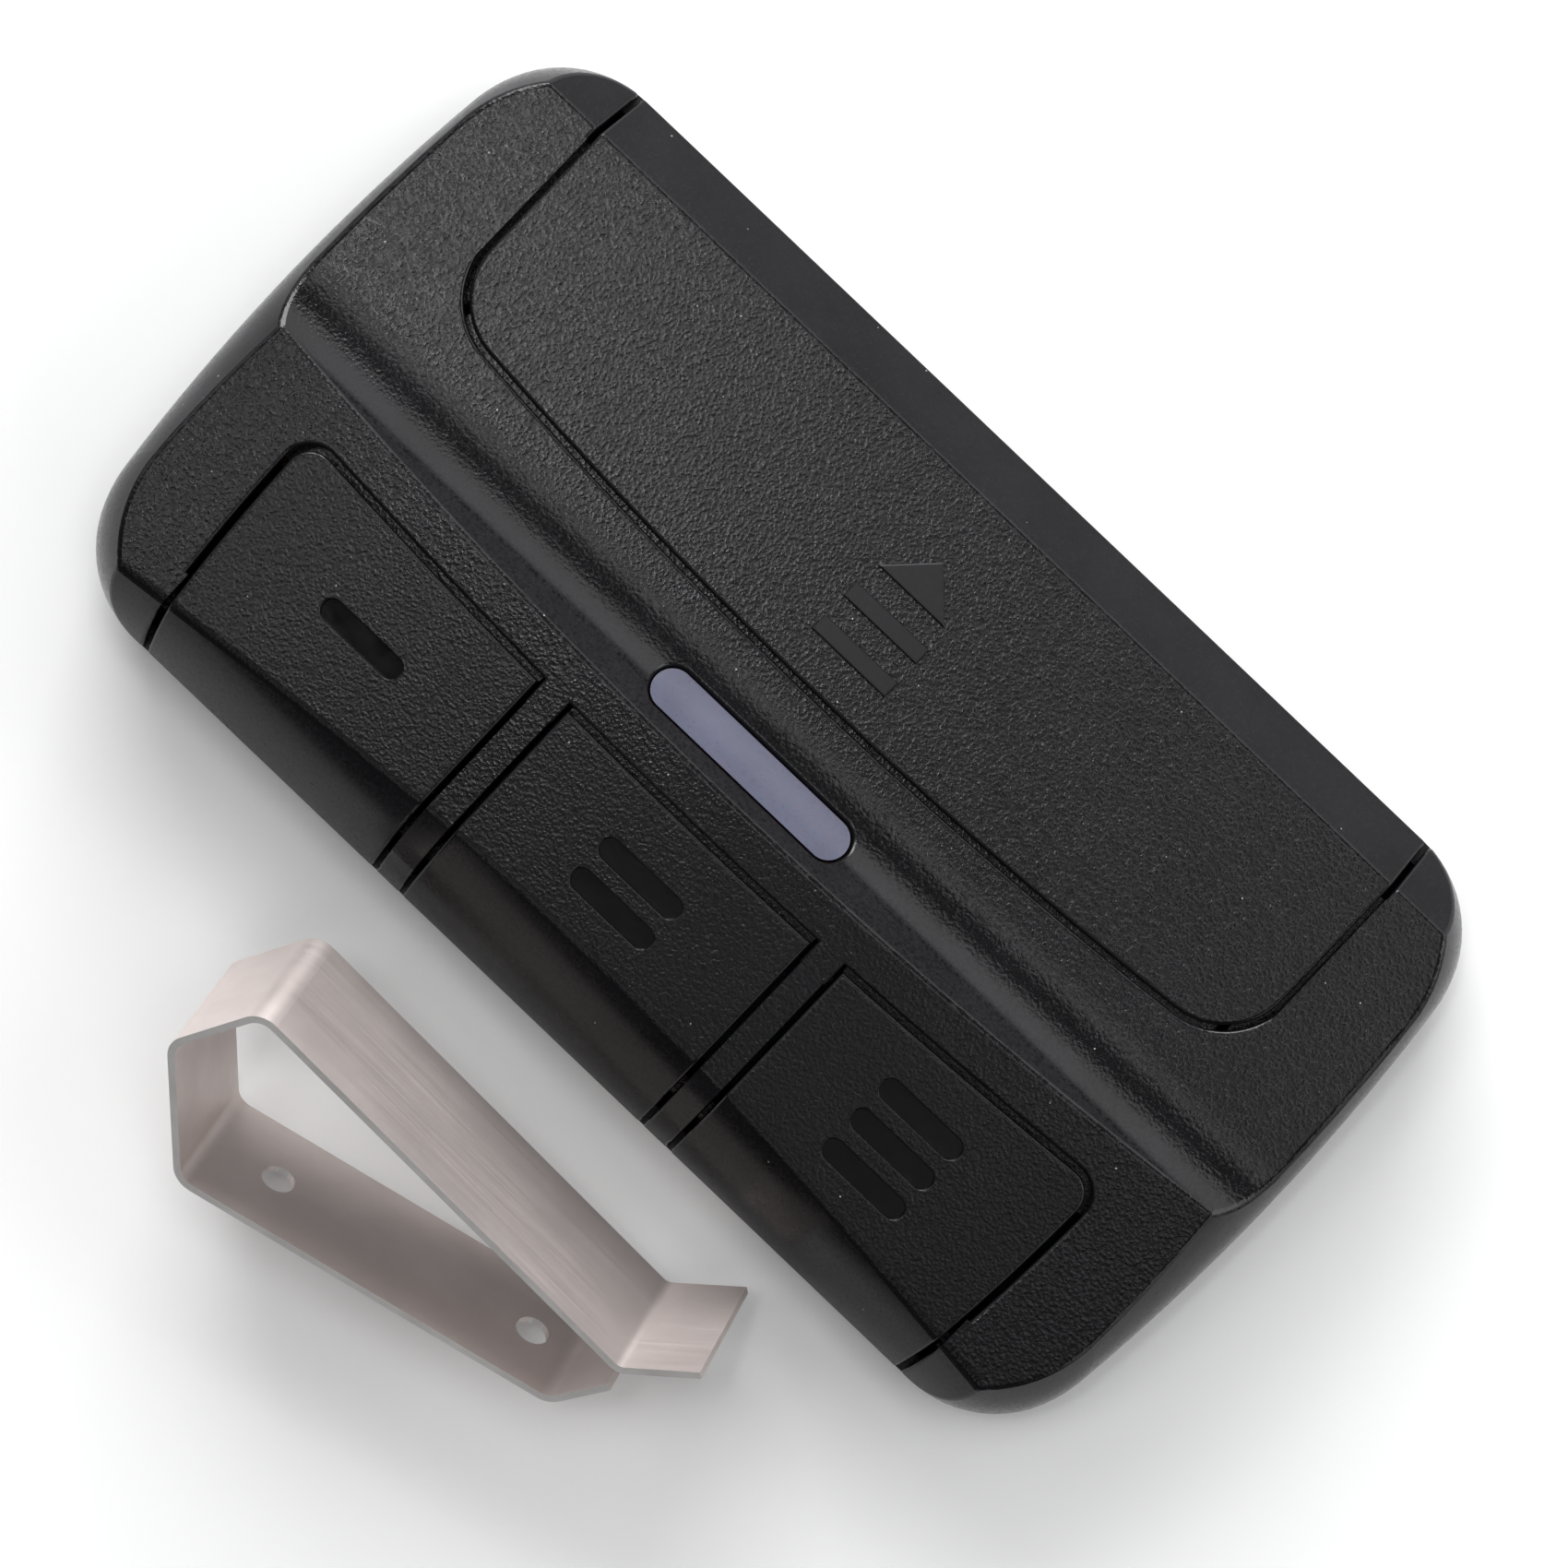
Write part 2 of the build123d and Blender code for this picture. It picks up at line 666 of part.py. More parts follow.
# Rear cover: the lower shell with the flat back
with BuildPart() as rear_cover:
    with BuildSketch():
        add(plain_outline(back_draft))
    with BuildSketch(Plane.XY.offset(parting_height - reveal_height)):
        add(plain_outline(0))
    loft(ruled=True)
    fillet(rear_cover.faces().sort_by(Axis.Z)[0].edges(), back_edge_radius)
    with BuildSketch(Plane.XY.offset(parting_height - reveal_height)):
        add(plain_outline(reveal_depth))
    extrude(amount=reveal_height)
    with BuildSketch(Plane.XY.offset(floor_thickness)):
        add(plain_outline(wall + back_draft))
    with BuildSketch(Plane.XY.offset(parting_height)):
        add(plain_outline(wall))
    loft(ruled=True, mode=Mode.SUBTRACT)
    # locating tongue, at both ends where the front cover has a wall
    with BuildSketch(Plane.XY.offset(board_top_z)):
        add(plain_outline(wall + tongue_clearance))
        add(plain_outline(wall + tongue_clearance + tongue_thickness), mode=Mode.SUBTRACT)
        Rectangle(2 * case_length, tongue_length, mode=Mode.INTERSECT)
        Rectangle(2 * end_post_x, case_width, mode=Mode.SUBTRACT)
    extrude(amount=parting_height + tongue_rise - board_top_z)
    # screw pillars, board posts and the posts that close the pivot slots
    with BuildSketch(Plane.XY.offset(floor_thickness)):
        with GridLocations(2 * screw_x, 2 * screw_y, 2, 2):
            Circle(pillar_radius)
    extrude(amount=pillar_height)
    with BuildSketch(Plane.XY.offset(floor_thickness)):
        with Locations(post_places):
            Circle(post_radius)
        with GridLocations(2 * end_post_x, 0, 2, 1):
            Circle(post_radius)
    extrude(amount=board_post_height)
    pivot_post_width = rib_thickness - 2 * pivot_post_clearance
    pivot_post_length = 2 * (pivot_radius + pivot_clearance - pivot_post_clearance)
    for x in (-end_rib_x, -divider_x, divider_x, end_rib_x):
        with BuildSketch(Plane.XY.offset(floor_thickness)):
            with Locations((x, pivot_y)):
                Rectangle(pivot_post_width, pivot_post_length)
        extrude(amount=pivot_z - pivot_radius - pivot_clearance - floor_thickness)
    # screw holes, sunk from the back
    with BuildSketch():
        with GridLocations(2 * screw_x, 2 * screw_y, 2, 2):
            Circle(screw_radius + screw_clearance)
    extrude(amount=pillar_top_z, mode=Mode.SUBTRACT)
    with BuildSketch():
        with GridLocations(2 * screw_x, 2 * screw_y, 2, 2):
            Circle(screw_head_radius + screw_clearance)
    extrude(amount=screw_sink + screw_head_height, mode=Mode.SUBTRACT)
    # seat for the visor clip's base, with two snap pegs for its holes
    with BuildSketch():
        Rectangle(strip_width + 2 * seat_clearance, clip_base + 2 * seat_clearance)
    extrude(amount=seat_depth, mode=Mode.SUBTRACT)
    with BuildSketch(Plane.XY.offset(seat_depth - strip_thickness)):
        with GridLocations(0, clip_holes[1] - clip_holes[0], 1, 2):
            Circle(peg_radius)
    extrude(amount=strip_thickness)
    with BuildSketch(Plane.XY.offset(seat_depth - strip_thickness - peg_head_height)):
        with GridLocations(0, clip_holes[1] - clip_holes[0], 1, 2):
            Circle(peg_head_radius)
    extrude(amount=peg_head_height)

# Keys: shells with a skirt, two pivot pins, sunk bars and a post over the switch
keys = []
for index in (-1, 0, 1):
    low, high = key_limits(index)
    with BuildPart() as key_core:
        with BuildSketch():
            add(key_plan(index, key_skirt))
        extrude(amount=ridge_height)
        add(inner, mode=Mode.INTERSECT)
    with BuildPart() as bar_floor:
        with BuildSketch():
            add(key_bars(index))
        extrude(amount=2 * ridge_height)
        add(key_form.part.moved(Location((0, 0, -bar_depth))), mode=Mode.SUBTRACT)
    with BuildPart() as key_post:
        with BuildSketch(Plane.XY.offset(plunger_top_z + press_gap)):
            with Locations((index * key_pitch, switch_y)):
                Circle(press_post_radius)
        extrude(amount=ridge_height)
        add(key_form.part.moved(Location((0, 0, -wall / 2))), mode=Mode.INTERSECT)
    with BuildPart() as key_flange:
        with BuildSketch(Plane.XY.offset(skirt_foot_z)):
            add(key_field(key_gap + key_flange_reach))
            with Locations(((low + high) / 2, key_top_y - key_skirt / 2 + case_width / 2)):
                Rectangle(high - low, case_width, mode=Mode.INTERSECT)
        extrude(amount=ridge_height)
        add(inner.moved(Location((0, 0, -key_flange_clearance))), mode=Mode.INTERSECT)
        flange_underside = -key_flange_clearance - key_flange_thickness
        add(inner.moved(Location((0, 0, flange_underside))), mode=Mode.SUBTRACT)
    with BuildPart() as key:
        with BuildSketch(Plane.XY.offset(parting_height + key_foot_gap)):
            add(key_plan(index, 0))
        extrude(amount=ridge_height)
        add(key_form.part, mode=Mode.INTERSECT)
        fillet(face_edges(key, key_form.part), opening_edge_radius)
        add(key_core.part, mode=Mode.SUBTRACT)
        # the skirt is short above the board and full only beside the pivots
        with BuildSketch():
            with Locations((0, pivot_y + lug_radius + case_width / 2)):
                Rectangle(2 * case_length, case_width)
        extrude(amount=skirt_foot_z, mode=Mode.SUBTRACT)
        add(key_post.part)
        add(key_flange.part)
        for side, edge in ((-1, max(low, -end_lug_x)), (1, min(high, end_lug_x))):
            reach = pivot_reach if abs(edge) < end_lug_x else end_rib_x - end_lug_x + pivot_reach / 2
            with BuildSketch(Plane.YZ.offset(edge - side * key_skirt)):
                with Locations((pivot_y, pivot_z)):
                    Circle(lug_radius)
            extrude(amount=side * key_skirt)
            with BuildSketch(Plane.YZ.offset(edge - side * key_skirt / 2)):
                with Locations((pivot_y, pivot_z)):
                    Circle(pivot_radius)
            extrude(amount=side * (key_skirt / 2 + reach))
        add(bar_floor.part, mode=Mode.SUBTRACT)
        fillet(face_edges(key, key_form.part), mark_edge_radius)
    keys.append(key)

# Battery cover: skin, running rails, guides under the shelves, hooks and raised marks
with BuildPart() as cover_inside:
    guide_length = shelf_length - guide_lead - guide_tail
    guide_y = shelf_start_y + guide_lead + guide_length / 2
    guide_bottom_z = shelf_bottom_z - guide_clearance - guide_thickness
    web_x = opening_half_width - shelf_reach - guide_clearance - guide_thickness / 2
    toe_low_x = web_x - guide_thickness / 2
    toe_high_x = cover_half_width - guide_clearance
    rail_x = cover_half_width - guide_thickness
    for side in (-1, 1):
        with BuildSketch(Plane.XY.offset(guide_bottom_z)):
            with Locations((side * web_x, guide_y)):
                Rectangle(guide_thickness, guide_length)
        extrude(amount=ridge_height)
        with BuildSketch(Plane.XY.offset(guide_bottom_z)):
            with Locations((side * (toe_high_x + toe_low_x) / 2, guide_y)):
                Rectangle(toe_high_x - toe_low_x, guide_length)
        extrude(amount=guide_thickness)
        with BuildSketch(Plane.XY.offset(shelf_top_z + rail_clearance)):
            with Locations((side * rail_x, guide_y)):
                Rectangle(guide_thickness, guide_length)
        extrude(amount=ridge_height)
    hook_bottom_z = battery_level - wall - guide_clearance - hook_thickness
    hook_tip_y = cover_foot_y - hook_reach
    hook_root_y = cover_foot_y + hook_root_setback
    hook_heel_y = hook_root_y + hook_root_length
    for x in (-hook_x, hook_x):
        with BuildSketch(Plane.XY.offset(hook_bottom_z)):
            with Locations((x, (hook_tip_y + hook_heel_y) / 2)):
                Rectangle(hook_width, hook_heel_y - hook_tip_y)
        extrude(amount=hook_thickness)
        with BuildSketch(Plane.XY.offset(hook_bottom_z)):
            with Locations((x, (hook_root_y + hook_heel_y) / 2)):
                Rectangle(hook_width, hook_root_length)
        extrude(amount=ridge_height)
    # a lip closes the gap under the front cover
    lip_bottom_z = battery_level - wall - guide_clearance - lip_thickness
    for outline, amount in ((lip_reach, lip_thickness), (-cover_gap, ridge_height)):
        with BuildSketch(Plane.XY.offset(lip_bottom_z)):
            add(cover_plan(outline))
            add(cover_plan(-lip_root), mode=Mode.SUBTRACT)
            with Locations((0, cover_foot_y)):
                Rectangle(2 * lip_half_length, 2 * cover_corner_radius, mode=Mode.INTERSECT)
        extrude(amount=amount)
    add(outer.moved(Location((0, 0, -wall / 2))), mode=Mode.INTERSECT)

with BuildPart() as cover_marks:
    with BuildSketch():
        with Locations((0, rib_y[0]), (0, rib_y[1])):
            Rectangle(rib_length, rib_width)
        with BuildLine():
            Polyline(
                (-arrow_width / 2, arrow_foot_y),
                (arrow_width / 2, arrow_foot_y),
                (0, arrow_tip_y),
                close=True,
            )
        make_face()
    extrude(amount=ridge_height)
    add(outer.moved(Location((0, 0, mark_rise))), mode=Mode.INTERSECT)
    mark_tops = cover_marks.edges().filter_by(Axis.Z, reverse=True)
    fillet(mark_tops.filter_by_position(Axis.Z, battery_level - wall / 2, ridge_height), mark_edge_radius)
    add(inner, mode=Mode.SUBTRACT)

with BuildPart() as battery_cover:
    with BuildSketch(Plane.XY.offset(parting_height + cover_lift)):
        add(cover_plan(0))
    extrude(amount=ridge_height)
    add(cover_form.part, mode=Mode.INTERSECT)
    fillet(face_edges(battery_cover, cover_form.part), opening_edge_radius)
    add(inner, mode=Mode.SUBTRACT)
    add(cover_marks.part)
    add(cover_inside.part)

# Indicator lens: a light pipe with a flange under the front cover
with BuildPart() as lens_flange_body:
    with BuildSketch(Plane.XY.offset(board_top_z)):
        with Locations((0, lens_y)):
            SlotOverall(lens_length + 2 * lens_flange, lens_width + 2 * lens_flange)
    extrude(amount=ridge_height)
    add(inner, mode=Mode.INTERSECT)
    add(inner.moved(Location((0, 0, -lens_flange_thickness))), mode=Mode.SUBTRACT)

with BuildPart() as indicator_lens:
    with BuildSketch(Plane.XY.offset(battery_level - wall)):
        with Locations((0, lens_y)):
            SlotOverall(lens_length, lens_width)
    extrude(amount=ridge_height)
    with BuildSketch(Plane.XY.offset(board_top_z + led_height + light_gap)):
        with Locations((0, lens_y)):
            Rectangle(light_pipe_length, light_pipe_width)
    extrude(amount=battery_level - wall - board_top_z)
    add(outer.moved(Location((0, 0, lens_rise))), mode=Mode.INTERSECT)
    add(lens_flange_body.part)

# Circuit board
with BuildPart() as main_board:
    with BuildSketch(Plane.XY.offset(board_bottom_z)):
        Rectangle(2 * board_half_length, 2 * board_waist_y)
        with Locations((0, (board_low_y + board_high_y) / 2)):
            Rectangle(2 * board_waist_x, board_high_y - board_low_y)
    extrude(amount=board_thickness)

# Key switches
switch_bodies = []
switch_plungers = []
plunger_foot_z = board_top_z + switch_height - plunger_grip
foot_pitch_x = switch_size + 2 * switch_foot_reach
foot_pitch_y = switch_size - 2 * switch_foot_inset
for index in (-1, 0, 1):
    with BuildPart() as switch_body:
        with BuildSketch(Plane.XY.offset(board_top_z)):
            with Locations((index * key_pitch, switch_y)):
                RectangleRounded(switch_size, switch_size, switch_corner_radius)
        extrude(amount=switch_height)
        chamfer(switch_body.faces().sort_by(Axis.Z)[-1].edges(), switch_edge)
        with BuildSketch(Plane.XY.offset(board_top_z)):
            with Locations((index * key_pitch, switch_y)):
                with GridLocations(foot_pitch_x, foot_pitch_y, 2, 2):
                    Rectangle(switch_foot_length, switch_foot_width)
        extrude(amount=lead_thickness)
        with BuildSketch(Plane.XY.offset(plunger_foot_z - plunger_room)):
            with Locations((index * key_pitch, switch_y)):
                Circle(plunger_radius + switch_clearance)
        extrude(amount=ridge_height, mode=Mode.SUBTRACT)
    switch_bodies.append(switch_body)
    with BuildPart() as switch_plunger:
        with BuildSketch(Plane.XY.offset(plunger_foot_z)):
            with Locations((index * key_pitch, switch_y)):
                Circle(plunger_radius)
        extrude(amount=plunger_grip + plunger_rise)
        fillet(switch_plunger.faces().sort_by(Axis.Z)[-1].edges(), plunger_edge_radius)
    switch_plungers.append(switch_plunger)

# Programming switch, reached with the battery cover off
with BuildPart() as program_switch_body:
    with BuildSketch(Plane.XY.offset(board_top_z)):
        with Locations((program_x, program_y)):
            RectangleRounded(program_size, program_size, program_corner_radius)
    extrude(amount=program_height)
    chamfer(program_switch_body.faces().sort_by(Axis.Z)[-1].edges(), program_edge)
    with BuildSketch(Plane.XY.offset(board_top_z + program_well_floor)):
        with Locations((program_x, program_y)):
            Circle(program_button_radius + switch_clearance)
    extrude(amount=program_height, mode=Mode.SUBTRACT)

with BuildPart() as program_button:
    with BuildSketch(Plane.XY.offset(board_top_z + program_height - program_button_grip)):
        with Locations((program_x, program_y)):
            Circle(program_button_radius)
    extrude(amount=program_button_grip + program_button_rise)
    fillet(program_button.faces().sort_by(Axis.Z)[-1].edges(), program_button_edge_radius)

# Indicator LEDs under the light pipe
with BuildPart() as indicator_leds:
    with BuildSketch(Plane.XY.offset(board_top_z)):
        with Locations((0, lens_y)):
            with GridLocations(led_pitch, 0, 3, 1):
                Rectangle(led_length, led_width)
    extrude(amount=led_height)


def chip(place, size, lead_count):
    """A chip with leads along its two long sides."""
    length, width, height = size
    with BuildPart(mode=Mode.PRIVATE) as body:
        with BuildSketch(Plane.XY.offset(board_top_z + chip_standoff)):
            with Locations(place):
                Rectangle(length, width)
        extrude(amount=height)
        chamfer(body.faces().sort_by(Axis.Z)[-1].edges(), chip_edge)
        with BuildSketch(Plane.XY.offset(board_top_z)):
            with Locations(place):
                with GridLocations(length / lead_count, 0, lead_count, 1):
                    Rectangle(lead_width, width + 2 * lead_reach)
        extrude(amount=lead_thickness)
    return body


# Chips, crystal and small parts on the board
controller_chip = chip(controller_place, controller_size, controller_leads)
radio_chip = chip(radio_place, radio_size, radio_leads)

with BuildPart() as radio_crystal:
    crystal_length, crystal_width, crystal_height = crystal_size
    with BuildSketch(Plane.XY.offset(board_top_z)):
        with Locations(crystal_place):
            RectangleRounded(crystal_length, crystal_width, crystal_corner_radius)
    extrude(amount=crystal_height)
    fillet(radio_crystal.faces().sort_by(Axis.Z)[-1].edges(), crystal_edge_radius)

with BuildPart() as chip_resistors:
    with BuildSketch(Plane.XY.offset(board_top_z)):
        with Locations(resistor_places):
            Rectangle(small_part_length, small_part_width)
    extrude(amount=resistor_height)

with BuildPart() as chip_capacitors:
    with BuildSketch(Plane.XY.offset(board_top_z)):
        with Locations(capacitor_places):
            Rectangle(small_part_length, small_part_width)
    extrude(amount=capacitor_height)

with BuildPart() as antenna_trace:
    with BuildSketch(Plane.XY.offset(board_top_z)):
        with Locations((antenna_x, (antenna_low_y + antenna_high_y) / 2)):
            Rectangle(antenna_width, antenna_high_y - antenna_low_y)
            offset(amount=-antenna_track, kind=Kind.INTERSECTION, mode=Mode.SUBTRACT)
        with Locations((antenna_x + antenna_width / 2, antenna_feed_y)):
            Rectangle(3 * antenna_track, antenna_feed_gap, mode=Mode.SUBTRACT)
    extrude(amount=copper_thickness)

# Coin cell, its holder and its two contacts
with BuildPart() as coin_cell:
    with BuildSketch(Plane.XY.offset(cell_bottom_z)):
        with Locations((cell_x, cell_y)):
            Circle(cell_cap_radius)
    extrude(amount=cell_cap_height)
    with BuildSketch(Plane.XY.offset(cell_bottom_z + cell_cap_height)):
        with Locations((cell_x, cell_y)):
            Circle(cell_radius)
    extrude(amount=cell_height - cell_cap_height)
    fillet(coin_cell.faces().sort_by(Axis.Z)[-1].edges(), cell_edge_radius)

with BuildPart() as battery_contact_negative:
    with BuildSketch(Plane.XY.offset(board_top_z)):
        with Locations((cell_x, cell_y)):
            Rectangle(contact_length, contact_width)
    extrude(amount=contact_thickness)
    with BuildSketch(Plane.XY.offset(board_top_z + contact_thickness)):
        with Locations((cell_x, cell_y)):
            Circle(contact_dimple_radius)
    extrude(amount=contact_dimple)

with BuildPart() as battery_contact_positive:
    upright_x = cell_x + cell_radius + holder_clearance
    with BuildSketch(Plane.XZ.offset(-cell_y - contact_width / 2)):
        with BuildLine():
            Polyline(
                (upright_x + contact_foot, board_top_z),
                (upright_x, board_top_z),
                (upright_x, cell_top_z),
                (upright_x - contact_arm, cell_top_z),
                (upright_x - contact_arm, cell_top_z + contact_thickness),
                (upright_x + contact_thickness, cell_top_z + contact_thickness),
                (upright_x + contact_thickness, board_top_z + contact_thickness),
                (upright_x + contact_foot, board_top_z + contact_thickness),
                close=True,
            )
        make_face()
    extrude(amount=contact_width)

with BuildPart() as battery_holder:
    ring = cell_radius + holder_clearance
    with BuildSketch(Plane.XY.offset(board_top_z)):
        with Locations((cell_x, cell_y)):
            Circle(ring + holder_wall)
            Circle(ring, mode=Mode.SUBTRACT)
    extrude(amount=holder_height)
    # the side under the front cover is higher, with a lip over the cell
    with BuildSketch(Plane.XY.offset(board_top_z)):
        with Locations((cell_x, cell_y)):
            Circle(ring + holder_wall)
            Circle(ring, mode=Mode.SUBTRACT)
        with Locations((cell_x, cell_y - cell_radius)):
            Rectangle(2 * cell_radius, holder_lip_width, mode=Mode.INTERSECT)
    extrude(amount=holder_top_z - board_top_z)
    with BuildSketch(Plane.XY.offset(cell_top_z + holder_lip_clearance)):
        with Locations((cell_x, cell_y)):
            Circle(ring + holder_wall)
            Circle(ring - holder_lip, mode=Mode.SUBTRACT)
        with Locations((cell_x, cell_y - cell_radius)):
            Rectangle(2 * cell_radius, holder_lip_width, mode=Mode.INTERSECT)
    extrude(amount=holder_lip_thickness)
    # gap for the positive contact
    with BuildSketch(Plane.XY.offset(board_top_z)):
        with Locations((cell_x + cell_radius, cell_y)):
            Rectangle(4 * holder_wall, contact_width + 2 * holder_clearance)
    extrude(amount=holder_height, mode=Mode.SUBTRACT)

# Screws
with BuildPart() as case_screws:
    head_top_z = screw_sink + screw_head_height
    with BuildSketch(Plane.XY.offset(screw_sink)):
        with GridLocations(2 * screw_x, 2 * screw_y, 2, 2):
            Circle(screw_head_radius)
    extrude(amount=screw_head_height)
    with BuildSketch(Plane.XY.offset(head_top_z)):
        with GridLocations(2 * screw_x, 2 * screw_y, 2, 2):
            Circle(screw_radius)
    extrude(amount=pillar_top_z - head_top_z + screw_grip)
    with BuildSketch(Plane.XY.offset(screw_sink)):
        with GridLocations(2 * screw_x, 2 * screw_y, 2, 2):
            Rectangle(screw_cross_length, screw_cross_width)
            Rectangle(screw_cross_width, screw_cross_length)
    extrude(amount=screw_cross_depth, mode=Mode.SUBTRACT)


# Visor clip, on the lower long edge of its base
def onward(point, length, angle):
    """The point reached from another one by a straight run."""
    return (point[0] + length * cos(radians(angle)), point[1] + length * sin(radians(angle)))


lean_run = sin(radians(clip_lean))
clip_way = (cos(radians(clip_heading)), sin(radians(clip_heading)), 0)
strip_way = (lean_run * clip_way[1], -lean_run * clip_way[0], cos(radians(clip_lean)))
clip_plane = Plane(
    origin=(
        clip_x - strip_width * strip_way[0],
        clip_y - strip_width * strip_way[1],
        strip_thickness * lean_run,
    ),
    x_dir=clip_way,
    z_dir=strip_way,
)
base_bend = (0, 0)
base_end = onward(base_bend, clip_base, 0)
curl_tip = onward(base_end, clip_curl, clip_curl_angle)
end_bend = onward(base_bend, clip_end, clip_end_angle)
top_bend = onward(end_bend, clip_top, clip_top_angle)
strap_end = onward(top_bend, clip_strap, clip_strap_angle)
lip_tip = onward(strap_end, clip_lip, clip_lip_angle)
with BuildPart() as visor_clip:
    with BuildLine(clip_plane):
        FilletPolyline(
            curl_tip, base_end, base_bend, end_bend, top_bend, strap_end, lip_tip, radius=clip_bend_radius
        )
    make_brake_formed(thickness=strip_thickness, station_widths=strip_width)
    for hole in clip_holes:
        hole_plane = Plane(
            origin=clip_plane.from_local_coords((hole, 0, strip_width / 2)),
            z_dir=clip_plane.y_dir,
        )
        with BuildSketch(hole_plane):
            Circle(clip_hole_radius)
        extrude(amount=2 * strip_thickness, both=True, mode=Mode.SUBTRACT)

sub_parts = {
    "front_cover": front_cover,
    "rear_cover": rear_cover,
    "battery_cover": battery_cover,
    "indicator_lens": indicator_lens,
    "indicator_leds": indicator_leds,
    "main_board": main_board,
    "antenna_trace": antenna_trace,
    "controller_chip": controller_chip,
    "radio_chip": radio_chip,
    "radio_crystal": radio_crystal,
    "chip_resistors": chip_resistors,
    "chip_capacitors": chip_capacitors,
    "program_switch_body": program_switch_body,
    "program_button": program_button,
    "battery_holder": battery_holder,
    "battery_contact_positive": battery_contact_positive,
    "battery_contact_negative": battery_contact_negative,
    "coin_cell": coin_cell,
    "case_screws": case_screws,
    "visor_clip": visor_clip,
}
for number in range(3):
    sub_parts[f"key_{number + 1}"] = keys[number]
    sub_parts[f"switch_body_{number + 1}"] = switch_bodies[number]
    sub_parts[f"switch_plunger_{number + 1}"] = switch_plungers[number]

os.makedirs("parts", exist_ok=True)
for name, sub_part in sub_parts.items():
    sub_part.part.label = name
    export_step(sub_part.part, f"parts/{name}.step")
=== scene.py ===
import math

import bpy
from mathutils import Matrix, Vector


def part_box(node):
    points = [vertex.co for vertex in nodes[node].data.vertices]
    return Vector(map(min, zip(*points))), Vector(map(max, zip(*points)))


# The garage door remote and its visor clip, as packed, with the finish of the real ones.
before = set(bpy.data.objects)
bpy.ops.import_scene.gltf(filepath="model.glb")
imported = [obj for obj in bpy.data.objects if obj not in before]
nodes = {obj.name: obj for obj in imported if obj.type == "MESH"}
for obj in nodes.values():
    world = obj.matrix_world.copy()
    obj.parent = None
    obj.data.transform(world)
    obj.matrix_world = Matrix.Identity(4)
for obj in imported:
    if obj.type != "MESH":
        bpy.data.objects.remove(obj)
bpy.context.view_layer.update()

# Front cover. The real one is the upper shell of the case, moulded in black ABS in a tool that
# was spark eroded, so its broad faces are grained. It is screwed down from the back.
MM = 0.001
ABS_IOR = 1.53
ABS_BLACK = "#151417"
ABS_WORN = "#1e1d21"
ABS_MOTTLE = 6 * MM
GRAIN_PITCH = 0.22 * MM  # noise of this pitch has the real grain's bumps of 0.3 to 0.45 mm
GRAIN_DEPTH = 0.029 * MM
GRAIN_RAGGEDNESS = 0.55
# Colour painted into the pits of the grain: painted shade.
GRAIN_PIT_SHADE = "#070708"
GRAIN_GLOSS = (0.13, 0.28)  # roughness of the rubbed tops and of the pits between them
GRAIN_FADE = (0.80, 0.93)  # upward share of the normal where the grain starts and is full
# The pebbles are a little coarser than the pits and count for less.
PEBBLE_SCALE = 0.8
PEBBLE_SMOOTHNESS = 0.6
PEBBLE_WEIGHT = 0.6
# Heights of the relief between which its gloss changes, and between which a pit is painted dark as
# painted shade.
GLOSS_HEIGHTS = (0.0, 0.45)
PIT_SHADE_HEIGHTS = (0.1, 0.36)
DUST_COLOUR = "#a9a8a6"
DUST_PITCH = 1.5 * MM
DUST_RADIUS = 0.06 * MM
DUST_RARITY = 0.64


def linear(code):
    """An sRGB hex colour as the linear RGBA that a shader takes."""
    levels = [int(code[place : place + 2], 16) / 255 for place in (1, 3, 5)]
    return [v / 12.92 if v <= 0.04045 else ((v + 0.055) / 1.055) ** 2.4 for v in levels] + [1.0]


def add_node(tree, kind, settings=None, values=None, links=None):
    """Adds a node to a tree with its settings, the values on its sockets and its links."""
    node = tree.nodes.new(kind)
    for name, value in (settings or {}).items():
        setattr(node, name, value)
    for name, value in (values or {}).items():
        node.inputs[name].default_value = value
    for name, output in (links or {}).items():
        tree.links.new(output, node.inputs[name])
    return node


def new_material(name, **values):
    """A material of that name with one Principled shader, and its tree, shader and coordinates."""
    material = bpy.data.materials.new(name)
    material.use_nodes = True
    tree = material.node_tree
    tree.nodes.clear()
    shader = add_node(tree, "ShaderNodeBsdfPrincipled", values=values)
    add_node(tree, "ShaderNodeOutputMaterial", links={"Surface": shader.outputs["BSDF"]})
    place = add_node(tree, "ShaderNodeTexCoord")
    return material, tree, shader, place


MOTTLE_DETAIL = 3.0
MOTTLE_SPAN = (0.35, 0.65)


def mottle(tree, shader, coords, pitch, dark, light):
    """Lets the base colour drift from dark to light in soft patches."""
    patches = add_node(
        tree,
        "ShaderNodeTexNoise",
        values={"Scale": 1 / pitch, "Detail": MOTTLE_DETAIL},
        links={"Vector": coords},
    )
    colour = add_node(tree, "ShaderNodeValToRGB", links={"Fac": patches.outputs["Fac"]})
    for end, position, shade in zip(colour.color_ramp.elements, MOTTLE_SPAN, (dark, light)):
        end.position = position
        end.color = linear(shade)
    tree.links.new(colour.outputs["Color"], shader.inputs["Base Color"])
    return colour.outputs["Color"]


